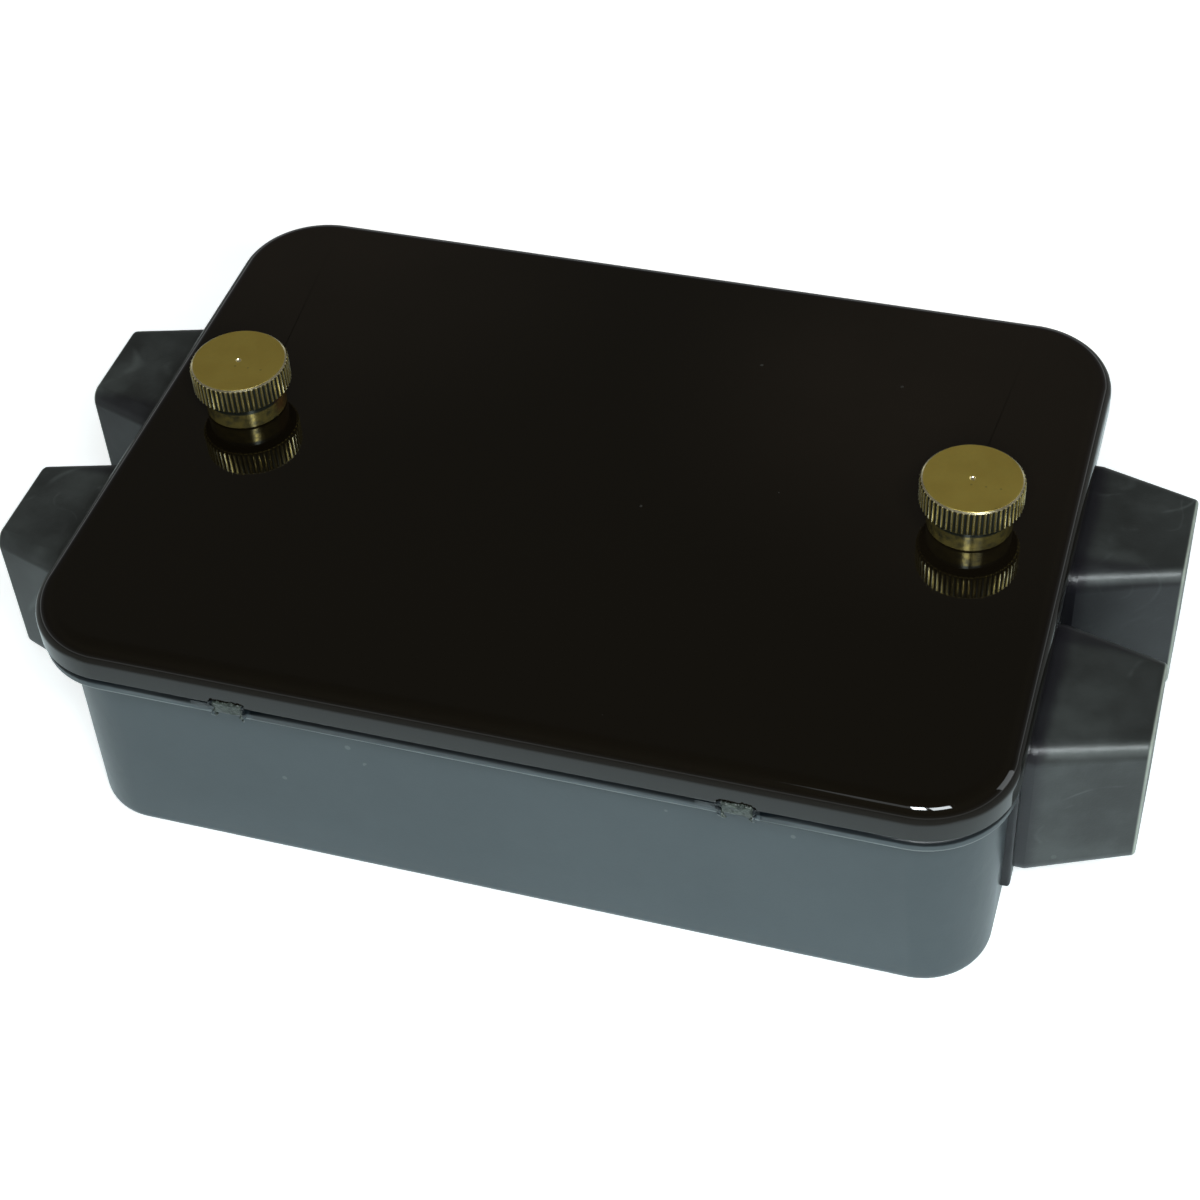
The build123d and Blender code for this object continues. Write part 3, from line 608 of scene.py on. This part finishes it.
# %% Thumb screws
RIBS = 58
STEPS = RIBS * 4
RIB_INSET = (0.4, 0.26, 0.0, 0.26)
RIB_LOW_Z, RIB_HIGH_Z = 51.0, 55.0
RIB_MIN_RADIUS = 7.9
WELD_DISTANCE = 0.005
SHANK_TIP_Z = 28.2
SCREW_OUTLINE = [(0, SHANK_TIP_Z), (1.5, SHANK_TIP_Z), (2.15, 29.0), (2.15, 42.5), (2.5, 42.5),
                 (2.5, 43.1), (2.1, 43.1), (2.1, 43.7), (2.5, 43.7), (2.5, 46.2), (6.35, 46.2),
                 (6.6, 46.45), (6.6, 49.85), (6.35, 50.1), (6.1, 50.1), (6.1, 50.6), (7.5, 50.6),
                 (8.0, 51.05), (8.0, 54.85), (7.75, 55.08), (7.45, 55.3), (0.5, 55.3), (0.42, 55.16),
                 (0.25, 55.02), (0, 54.97)]
THREAD_PITCH = 0.8
THREAD_LOW, THREAD_HIGH = 29.2, 42.0
THREAD_ROOT, THREAD_CREST = 2.1, 2.48
THREAD_STEPS = 24


def turned_screw():
    """The screw at the origin's axis, in millimetres."""
    bm = bmesh.new()
    line = [bm.verts.new((radius, 0, height)) for radius, height in SCREW_OUTLINE]
    edges = [bm.edges.new(pair) for pair in zip(line, line[1:])]
    bmesh.ops.spin(bm, geom=line + edges, cent=(0, 0, 0), axis=(0, 0, 1), angle=math.tau,
                   steps=STEPS, use_merge=True)
    bmesh.ops.remove_doubles(bm, verts=bm.verts, dist=WELD_DISTANCE)
    for vert in bm.verts:
        radius = math.hypot(vert.co.x, vert.co.y)
        if RIB_LOW_Z < vert.co.z < RIB_HIGH_Z and radius > RIB_MIN_RADIUS:
            step = round(math.atan2(vert.co.y, vert.co.x) / math.tau * STEPS) % len(RIB_INSET)
            factor = (radius - RIB_INSET[step]) / radius
            bmesh.ops.scale(bm, vec=(factor, factor, 1), verts=[vert])
    return bm


def add_thread(bm):
    """A ridge of triangular section that climbs by one pitch a turn."""
    turns = (THREAD_HIGH - THREAD_LOW) / THREAD_PITCH
    half = THREAD_PITCH / 2
    corners = [(THREAD_ROOT, THREAD_LOW - half), (THREAD_CREST, THREAD_LOW),
               (THREAD_ROOT, THREAD_LOW + half)]
    section = [bm.verts.new((radius, 0, height)) for radius, height in corners]
    edges = [bm.edges.new((section[index], section[(index + 1) % 3])) for index in range(3)]
    steps = int(turns * THREAD_STEPS)
    made = bmesh.ops.spin(bm, geom=section + edges, cent=(0, 0, 0), axis=(0, 0, 1),
                          angle=math.tau * steps / THREAD_STEPS, steps=steps,
                          dvec=(0, 0, THREAD_PITCH / THREAD_STEPS))
    last = [item for item in made["geom_last"] if isinstance(item, bmesh.types.BMEdge)]
    for loop in (edges, last):
        bmesh.ops.contextual_create(bm, geom=loop)


def make_thumb_screw(name, side):
    bm = turned_screw()
    add_thread(bm)
    bmesh.ops.scale(bm, vec=(MM, MM, MM), verts=bm.verts)
    bmesh.ops.translate(bm, vec=(side * SCREW_X * MM, SCREW_Y * MM, 0), verts=bm.verts)
    make_piece("turned_" + name, bm, screw_brass(side), name, name, sharp=35)


make_thumb_screw("thumb_screw_left", -1)
make_thumb_screw("thumb_screw_right", 1)

# %% [markdown]
# ## The tray's plastic
# The tray is moulded in black plastic that has greyed a little. Its walls are smooth with a faint
# cloudiness, a fine grain that only dulls the shine, some pale dust, and rubbed edges. Painted shade
# in the gap over the bead, a painted highlight along the bead's lower edge, and the torn gate marks
# could be painted by hand. Here their height and their distance from the middle place them, so that
# they follow the bead round its corners.

# %% Housing plastic
HOUSING_DARK = (0.034, 0.047, 0.053)
HOUSING_LIGHT = (0.05, 0.066, 0.073)
# A pale grey for rubbed edges and dust, and for a painted highlight on the bead.
RUBBED_AND_HIGHLIGHT = (0.2, 0.23, 0.22)


def moulded_finish(name, dark, light, rubbed, roughness, cloud_scale, wear, grain=0.25):
    """Moulded plastic or rubber: two tones in clouds, fine grain, dust and rubbed edges."""
    material, tree, shader, place = start_finish(name, roughness)
    patches = use_group(tree, "clouds", place, Scale=cloud_scale, Contrast=0.6)["Mask"]
    fine = use_group(tree, "clouds", place, Scale=cloud_scale * 9, Contrast=0.8)["Mask"]
    tone = maths(tree, "MULTIPLY_ADD", fine, 0.3, maths(tree, "MULTIPLY", patches, 0.7))
    colour = mix_colours(tree, tone, dark, light)
    edges = use_group(tree, "worn_edges", place, Width=0.0004, Wear=wear)["Mask"]
    dust = use_group(tree, "specks", place, Scale=420.0, Share=0.05, Size=0.2)["Mask"]
    marks = maths(tree, "MAXIMUM", maths(tree, "MULTIPLY", edges, 0.5),
                  maths(tree, "MULTIPLY", dust, 0.3))
    colour = mix_colours(tree, marks, colour, rubbed)
    pores = put(tree, "TexNoise", {"Vector": place, "Scale": 2600.0, "Detail": 2.0}).outputs[0]
    shine = maths(tree, "MULTIPLY_ADD", tone, 0.1, roughness - 0.05)
    connect(tree, shader, Base_Color=colour, Roughness=shine,
            Normal=bump(tree, pores, grain, 0.00004))
    return material


CORNER_X, CORNER_Y = 61.8, 40.3
OUTER_FROM = 53.0
# Heights and colour of a painted shade line on the bead, in the gap under the lid's skirt.
GAP_SHADE_Z = (38.45, 38.75)
GAP_SHADE = (0.003, 0.006, 0.008)
# Height of a painted highlight line along the bead's lower edge.
BEAD_HIGHLIGHT_Z = 37.3
BEAD_HIGHLIGHT_REACH = (0.45, 0.1)
GATE_X = (-39.8, 38.2)
GATE_FRONT_Y = -54.0
GATE_HALF = 2.3
CRUMB_DARK = (0.014, 0.02, 0.017)
CRUMB_LIGHT = (0.06, 0.075, 0.063)


def across(tree, place):
    """How far out a place is: 54.2 mm all along the tray's bead, also round its corners."""
    size = put(tree, "VectorMath", {0: place}, operation="ABSOLUTE").outputs[0]
    no_height = 1.0
    past = put(tree, "VectorMath", {0: size, 1: (CORNER_X * MM, CORNER_Y * MM, no_height)},
               operation="SUBTRACT").outputs[0]
    past = put(tree, "VectorMath", {0: past, 1: (0, 0, 0)}, operation="MAXIMUM").outputs[0]
    length = put(tree, "VectorMath", {0: past}, operation="LENGTH").outputs["Value"]
    return maths(tree, "ADD", length, CORNER_Y * MM)


def bead_marks(material):
    """Painted shade in the gap over the bead, a painted highlight on its lower edge, and torn gate
    marks.
    """
    tree = material.node_tree
    shader = tree.nodes["Principled BSDF"]
    place = tree.nodes["Mapping"].outputs[0]
    colour = shader.inputs["Base Color"].links[0].from_socket
    split = put(tree, "SeparateXYZ", {0: place})
    height = split.outputs["Z"]
    outside = maths(tree, "GREATER_THAN", across(tree, place), OUTER_FROM * MM)
    uneven = use_group(tree, "clouds", place, Scale=160.0, Contrast=0.6)["Mask"]
    # Painted shade: a dark line on the bead under the lid's skirt.
    level = maths(tree, "MULTIPLY_ADD", uneven, 0.25 * MM, height)
    shade_and_dirt = remap(tree, level, GAP_SHADE_Z[0] * MM, GAP_SHADE_Z[1] * MM)
    shade_and_dirt = maths(tree, "MULTIPLY", shade_and_dirt, outside)
    # Painted highlight: a pale line along the bead's lower edge.
    from_edge = maths(tree, "ABSOLUTE", maths(tree, "SUBTRACT", height, BEAD_HIGHLIGHT_Z * MM))
    bead_highlight = remap(tree, from_edge, BEAD_HIGHLIGHT_REACH[0] * MM, BEAD_HIGHLIGHT_REACH[1] * MM)
    bead_highlight = maths(tree, "MULTIPLY", bead_highlight, outside)
    bead_highlight = maths(tree, "MULTIPLY", bead_highlight, maths(tree, "MULTIPLY_ADD", uneven, 0.4, 0.35))
    in_front = maths(tree, "LESS_THAN", split.outputs["Y"], GATE_FRONT_Y * MM)
    torn = 0.0
    for gate in GATE_X:
        off = maths(tree, "ABSOLUTE", maths(tree, "SUBTRACT", split.outputs["X"], gate * MM))
        torn = maths(tree, "MAXIMUM", torn, maths(tree, "LESS_THAN", off, GATE_HALF * MM))
    torn = maths(tree, "MULTIPLY", torn, in_front)
    whole = maths(tree, "SUBTRACT", 1.0, torn)
    colour = mix_colours(tree, maths(tree, "MULTIPLY", bead_highlight, whole), colour, RUBBED_AND_HIGHLIGHT)
    colour = mix_colours(tree, maths(tree, "MULTIPLY", shade_and_dirt, whole), colour, GAP_SHADE)
    crumbs = put(tree, "TexVoronoi", {"Vector": place, "Scale": 2100.0})
    tones = put(tree, "SeparateColor", {"Color": crumbs.outputs["Color"]}).outputs["Red"]
    crumbly = mix_colours(tree, tones, CRUMB_DARK, CRUMB_LIGHT)
    colour = mix_colours(tree, torn, colour, crumbly)
    old_height = shader.inputs["Normal"].links[0].from_node.inputs["Height"].links[0].from_socket
    lumps = maths(tree, "MULTIPLY", maths(tree, "MULTIPLY", crumbs.outputs["Distance"], 9.0), torn)
    tree.links.new(maths(tree, "ADD", old_height, lumps),
                   shader.inputs["Normal"].links[0].from_node.inputs["Height"])
    connect(tree, shader, Base_Color=colour)


housing = moulded_finish("housing", HOUSING_DARK, HOUSING_LIGHT, RUBBED_AND_HIGHLIGHT, 0.32, 26.0, 0.35)
bead_marks(housing)
print("made", housing.name)

# %% [markdown]
# ## The tray and its gate marks
# The plastic was fed into the mould through two gates at the bead's front. There the bead is cut
# off, and a torn stub with crumbs round it is left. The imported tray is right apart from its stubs,
# which stand one stub's width too far left. So a copy of it is merged, cut along the bead's front
# and closed, and new stubs are extruded and roughened. A texture alone would leave a straight
# outline, so each crumb is a small ball that is squashed, roughened with noise and pushed into its
# neighbours. A short rounded bar closes the bead again beside each mark.

# %% Tray
BEAD_FRONT_Y = -54.2
CUT_CLEARANCE = 0.01
TRAY_WELD = 0.001
CUT_TOLERANCE = 0.0001


def trimmed_tray():
    """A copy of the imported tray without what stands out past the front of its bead."""
    bm = bmesh.new()
    bm.from_mesh(nodes["base_tray"].data)
    bmesh.ops.remove_doubles(bm, verts=bm.verts, dist=TRAY_WELD * MM)
    everything = bm.verts[:] + bm.edges[:] + bm.faces[:]
    cut_at = (0, (BEAD_FRONT_Y - CUT_CLEARANCE) * MM, 0)
    cut = bmesh.ops.bisect_plane(bm, geom=everything, dist=CUT_TOLERANCE * MM, clear_outer=True,
                                 plane_co=cut_at, plane_no=(0, -1, 0))
    rim_reflection = [item for item in cut["geom_cut"] if isinstance(item, bmesh.types.BMEdge)]
    bmesh.ops.triangle_fill(bm, edges=rim_reflection, use_beauty=True, use_dissolve=False)
    return bm


make_piece("trimmed_tray", trimmed_tray(), housing, "base", "base_tray", sharp=28)

# %% Gate stubs and crumbs
CRUMB_FRONT_Y = -54.94
STUB_WIDTH = 4.2
STUB_OUTLINE = [(-53.6, 37.7), (-54.85, 38.5), (-54.9, 40.3), (-54.6, 40.45), (-54.6, 39.2),
                (-53.6, 39.2)]
STUB_ROUGHNESS = 0.16
CRUMB_ROUGHNESS = 0.45
CRUMBS_ALONG, CRUMBS_BESIDE = 46, 34
BEAD_LOW, BEAD_HIGH = 36.8, 39.2
BEAD_DEPTH, BEAD_ROUND = 1.6, 0.9


def add_crumb(bm, x, z, size, chance):
    """One torn lump, whose front stays behind the stub's front face."""
    made = bmesh.ops.create_icosphere(bm, subdivisions=2, radius=size)["verts"]
    shift = Vector((chance.uniform(0, 50), chance.uniform(0, 50), chance.uniform(0, 50)))
    for vert in made:
        vert.co *= 1 + CRUMB_ROUGHNESS * noise.noise(vert.co / size * 1.6 + shift)
    stretch = (chance.uniform(0.8, 1.5), chance.uniform(0.6, 1.0), chance.uniform(0.7, 1.1))
    bmesh.ops.scale(bm, vec=stretch, verts=made)
    front = min(vert.co.y for vert in made)
    y = CRUMB_FRONT_Y - front + chance.uniform(0, 0.2)
    bmesh.ops.translate(bm, vec=(x, y, z), verts=made)


def add_stub(bm, gate):
    """The stub's outline, drawn out along the bead and pushed about by noise."""
    line = [bm.verts.new((gate - STUB_WIDTH / 2, y, z)) for y, z in STUB_OUTLINE]
    face = bm.faces.new(line)
    made = bmesh.ops.extrude_face_region(bm, geom=[face])["geom"]
    far = [item for item in made if isinstance(item, bmesh.types.BMVert)]
    bmesh.ops.translate(bm, vec=(STUB_WIDTH, 0, 0), verts=far)
    edges = list({edge for vert in line + far for edge in vert.link_edges})
    bmesh.ops.subdivide_edges(bm, edges=edges, cuts=5, use_grid_fill=True)
    for vert in bm.verts:
        vert.co += STUB_ROUGHNESS * noise.noise_vector(vert.co * 1.7)
        vert.co.y = max(vert.co.y, CRUMB_FRONT_Y)


def add_bead_end(bm, low_x, high_x):
    """A bar that carries the bead on from one side of a gate mark."""
    bar = bmesh.ops.create_cube(bm, size=1)["verts"]
    bmesh.ops.scale(bm, vec=(high_x - low_x, BEAD_DEPTH, BEAD_HIGH - BEAD_LOW), verts=bar)
    bmesh.ops.translate(bm, vec=((low_x + high_x) / 2, BEAD_FRONT_Y + BEAD_DEPTH / 2,
                                 (BEAD_LOW + BEAD_HIGH) / 2), verts=bar)
    front = [edge for vert in bar for edge in vert.link_edges
             if all(end.co.y < BEAD_FRONT_Y + 0.01 for end in edge.verts)
             and abs(edge.verts[0].co.x - edge.verts[1].co.x) > 0.5]
    bevel_edges(bm, list(set(front)), BEAD_ROUND, 5)


def gate_mark(name, gate, low_x, high_x, bar, seed):
    chance = random.Random(seed)
    bm = bmesh.new()
    add_stub(bm, gate)
    for _ in range(CRUMBS_ALONG):
        add_crumb(bm, chance.uniform(low_x, high_x), chance.uniform(39.9, 40.45),
                  chance.uniform(0.18, 0.36), chance)
    for _ in range(CRUMBS_BESIDE):
        side = chance.choice((-1, 1))
        x = min(max(gate + side * chance.uniform(1.9, 3.0), low_x), high_x)
        add_crumb(bm, x, chance.uniform(37.4, 40.2), chance.uniform(0.2, 0.4), chance)
    add_bead_end(bm, *bar)
    bmesh.ops.scale(bm, vec=(MM, MM, MM), verts=bm.verts)
    make_piece(name, bm, housing, "base", sharp=60)


gate_mark("gate_mark_left", GATE_X[0], -42.7, -37.6, (-38.2, -36.2), 3)
gate_mark("gate_mark_right", GATE_X[1], 35.3, 40.5, (39.9, 41.8), 8)

# %% [markdown]
# ## The glands' rubber
# The glands are soft black rubber. Old rubber is dull, with pale bloom in clouds and thin curved
# scratches from fingernails and tools. Painted shade darkens the nozzles' roots and the gap between
# them, the right gland's ridges get a painted highlight, and a light rim at each nozzle's end is a
# painted reflection. The nozzles get narrower outwards, so a ridge is found by how far a place lies
# inside their outline.

# %% Gland rubber
RUBBER_DARK = (0.0125, 0.0135, 0.0125)
RUBBER_LIGHT = (0.034, 0.038, 0.037)
# A dark colour for painted shade at and between the nozzles' roots.
RUBBER_SHADE = (0.007, 0.006, 0.009)
# A pale grey for bloom, scratches and rubbed edges, and for a painted highlight on the ridges.
BLOOM_AND_HIGHLIGHT = (0.11, 0.125, 0.12)
# A pale colour for painted reflections on the nozzles' end rims.
RIM_REFLECTION = (0.5, 0.56, 0.48)
NOZZLE_Y, NOZZLE_TOP = 18.2, 37.4
NOZZLE_ROOT_X, NOZZLE_ROOT_HALF, NOZZLE_TAPER = 76.9, 14.2, 0.312
# Where the painted shade lies: at the roots, and between the two nozzles.
ROOT_SHADE_X = (79.5, 77.2)
MIDDLE_SHADE_Y, MIDDLE_FROM_X = (10.5, 8.5), 76.0
# Where the painted highlight lies along the right gland's ridges.
RIDGE_HIGHLIGHT_REACH, RIDGE_HIGHLIGHT_START_X = (2.1, 0.7), (77.6, 79.0)
# Where the painted reflection lies at each nozzle's end.
RIM_REFLECTION_X, RIM_REFLECTION_END_X = (92.05, 92.4), 92.57


def rubber_finish(name, dark, light, scratched, roughness=0.36):
    material = moulded_finish(name, dark, light, BLOOM_AND_HIGHLIGHT, roughness, 48.0, 0.6, 0.4)
    tree = material.node_tree
    shader = tree.nodes["Principled BSDF"]
    place = tree.nodes["Mapping"].outputs[0]
    base = shader.inputs["Base Color"].links[0].from_socket
    bloom = use_group(tree, "clouds", place, Scale=120.0, Contrast=0.35)["Mask"]
    wide = use_group(tree, "clouds", place, Scale=30.0, Contrast=0.4)["Mask"]
    bloom = maths(tree, "MULTIPLY", bloom, wide)
    base = mix_colours(tree, maths(tree, "MULTIPLY", bloom, 0.25), base, BLOOM_AND_HIGHLIGHT)
    for scale, strength in ((34.0, 0.35), (71.0, 0.2)):
        lines = use_group(tree, "scratches", place, Scale=scale, Thinness=0.0002 * scale,
                          Share=scratched)["Mask"]
        base = mix_colours(tree, maths(tree, "MULTIPLY", lines, strength), base, BLOOM_AND_HIGHLIGHT)
    connect(tree, shader, Base_Color=base)
    return material


def gland_marks(material):
    """Painted shade at and between the nozzles' roots, and painted rim reflections and ridge
    highlights.
    """
    tree = material.node_tree
    shader = tree.nodes["Principled BSDF"]
    place = tree.nodes["Mapping"].outputs[0]
    base = shader.inputs["Base Color"].links[0].from_socket
    size = put(tree, "VectorMath", {0: place}, operation="ABSOLUTE").outputs[0]
    unsigned = put(tree, "SeparateXYZ", {0: size}).outputs
    signed = put(tree, "SeparateXYZ", {0: place}).outputs
    out, sideways = unsigned["X"], unsigned["Y"]
    uneven = use_group(tree, "clouds", place, Scale=200.0, Contrast=0.8)["Mask"]
    # Painted shade at the nozzles' roots and between the two nozzles.
    root_shade = remap(tree, maths(tree, "MULTIPLY_ADD", uneven, 1.0 * MM, out),
                 ROOT_SHADE_X[0] * MM, ROOT_SHADE_X[1] * MM)
    base = mix_colours(tree, maths(tree, "MULTIPLY", root_shade, 0.8), base, RUBBER_SHADE)
    middle_shade = remap(tree, sideways, MIDDLE_SHADE_Y[0] * MM, MIDDLE_SHADE_Y[1] * MM)
    middle_shade = maths(tree, "MULTIPLY", middle_shade, maths(tree, "GREATER_THAN", out, MIDDLE_FROM_X * MM))
    base = mix_colours(tree, maths(tree, "MULTIPLY", middle_shade, 0.6), base, RUBBER_SHADE)
    # Painted highlight along the right gland's ridges, where the top meets the side.
    half = maths(tree, "MULTIPLY_ADD", out, -NOZZLE_TAPER,
                 (NOZZLE_ROOT_HALF + NOZZLE_ROOT_X * NOZZLE_TAPER) * MM)
    off = maths(tree, "ABSOLUTE", maths(tree, "SUBTRACT", sideways, NOZZLE_Y * MM))
    inward = maths(tree, "SUBTRACT", half, off)
    below = maths(tree, "SUBTRACT", NOZZLE_TOP * MM, signed["Z"])
    ridge_highlight = remap(tree, maths(tree, "MAXIMUM", inward, below),
                  RIDGE_HIGHLIGHT_REACH[0] * MM, RIDGE_HIGHLIGHT_REACH[1] * MM)
    past_root = remap(tree, signed["X"], RIDGE_HIGHLIGHT_START_X[0] * MM, RIDGE_HIGHLIGHT_START_X[1] * MM)
    ridge_highlight = maths(tree, "MULTIPLY", ridge_highlight, past_root)
    ridge_highlight = maths(tree, "MULTIPLY", ridge_highlight, maths(tree, "MULTIPLY_ADD", uneven, 0.5, 0.3))
    base = mix_colours(tree, ridge_highlight, base, BLOOM_AND_HIGHLIGHT)
    # Painted reflection: a pale rim at each nozzle's end.
    rim_reflection = remap(tree, out, RIM_REFLECTION_X[0] * MM, RIM_REFLECTION_X[1] * MM)
    rim_reflection = maths(tree, "MULTIPLY", rim_reflection, maths(tree, "LESS_THAN", out, RIM_REFLECTION_END_X * MM))
    rim_reflection = maths(tree, "MULTIPLY", rim_reflection, maths(tree, "MULTIPLY_ADD", uneven, 0.4, 0.5))
    base = mix_colours(tree, rim_reflection, base, RIM_REFLECTION)
    connect(tree, shader, Base_Color=base)


gland_rubber = rubber_finish("gland_rubber", RUBBER_DARK, RUBBER_LIGHT, 0.5)
gland_marks(gland_rubber)
seal_rubber = rubber_finish("seal_rubber", (0.016, 0.016, 0.017), (0.03, 0.03, 0.031), 0.42, 0.5)
print("made", gland_rubber.name, "and", seal_rubber.name)

# %% [markdown]
# ## The metal inside
# The pillars and terminals are brass with a duller, cleaner skin than the thumb screws. The clamps,
# clip rings and fixing screws are zinc-plated steel. Each is a plain metal with soft clouds in its
# shine and faint turning or rolling lines.

# %% Inner metals


def metal_finish(name, colour, dull, roughness, scale=260.0):
    material, tree, shader, place = start_finish(name, roughness, 1.0)
    patches = use_group(tree, "clouds", place, Scale=scale, Contrast=0.7)["Mask"]
    spots = use_group(tree, "specks", place, Scale=1100.0, Share=0.05, Size=0.3)["Mask"]
    edges = use_group(tree, "worn_edges", place, Width=0.0002, Wear=0.4)["Mask"]
    tone = mix_colours(tree, maths(tree, "MULTIPLY", patches, 0.6), colour, dull)
    tone = mix_colours(tree, maths(tree, "MULTIPLY", spots, 0.4), tone, (0.06, 0.05, 0.04))
    tone = mix_colours(tree, maths(tree, "MULTIPLY", edges, 0.5), tone, colour)
    lines = use_group(tree, "lathe_lines", place, Scale=3600.0)["Height"]
    shine = maths(tree, "MULTIPLY_ADD", patches, 0.16, roughness - 0.08)
    connect(tree, shader, Base_Color=tone, Roughness=shine, Normal=bump(tree, lines, 0.15, 0.00003))
    return material


def block_finish():
    """Brown-black moulded resin with paler flecks of filler."""
    material = moulded_finish("block_plastic", (0.026, 0.014, 0.009), (0.055, 0.03, 0.018),
                              (0.2, 0.13, 0.08), 0.3, 90.0, 0.35)
    tree = material.node_tree
    shader = tree.nodes["Principled BSDF"]
    place = tree.nodes["Mapping"].outputs[0]
    base = shader.inputs["Base Color"].links[0].from_socket
    flecks = use_group(tree, "specks", place, Scale=1400.0, Share=0.25, Size=0.35)["Mask"]
    base = mix_colours(tree, maths(tree, "MULTIPLY", flecks, 0.4), base, (0.12, 0.07, 0.04))
    connect(tree, shader, Base_Color=base)
    return material


finishes = {
    "housing": housing,
    "gland_rubber": gland_rubber,
    "seal_rubber": seal_rubber,
    "lid_paint": paint,
    "screw_brass": metal_finish("plain_brass", BRASS, BRASS_TARNISH, 0.3),
    "pillar_brass": metal_finish("pillar_brass", (0.78, 0.58, 0.22), (0.5, 0.37, 0.15), 0.28),
    "terminal_brass": metal_finish("terminal_brass", (0.82, 0.64, 0.3), (0.58, 0.44, 0.2), 0.26),
    "clamp_steel": metal_finish("clamp_steel", (0.68, 0.68, 0.66), (0.45, 0.45, 0.44), 0.3),
    "fixing_steel": metal_finish("fixing_steel", (0.72, 0.71, 0.68), (0.5, 0.48, 0.42), 0.28),
    "ring_steel": metal_finish("ring_steel", (0.34, 0.34, 0.36), (0.2, 0.2, 0.21), 0.34),
    "block_plastic": block_finish(),
}
for part in frame["record"]["subparts"]:
    node = nodes[part["node"]]
    node.data.materials.clear()
    node.data.materials.append(finishes[part["material_slot"]])
print("finishes:", sorted(finishes))

# %% [markdown]
# ## Finish
# The view stays plain.

# %% Finish
bpy.context.scene.view_settings.view_transform = "Standard"
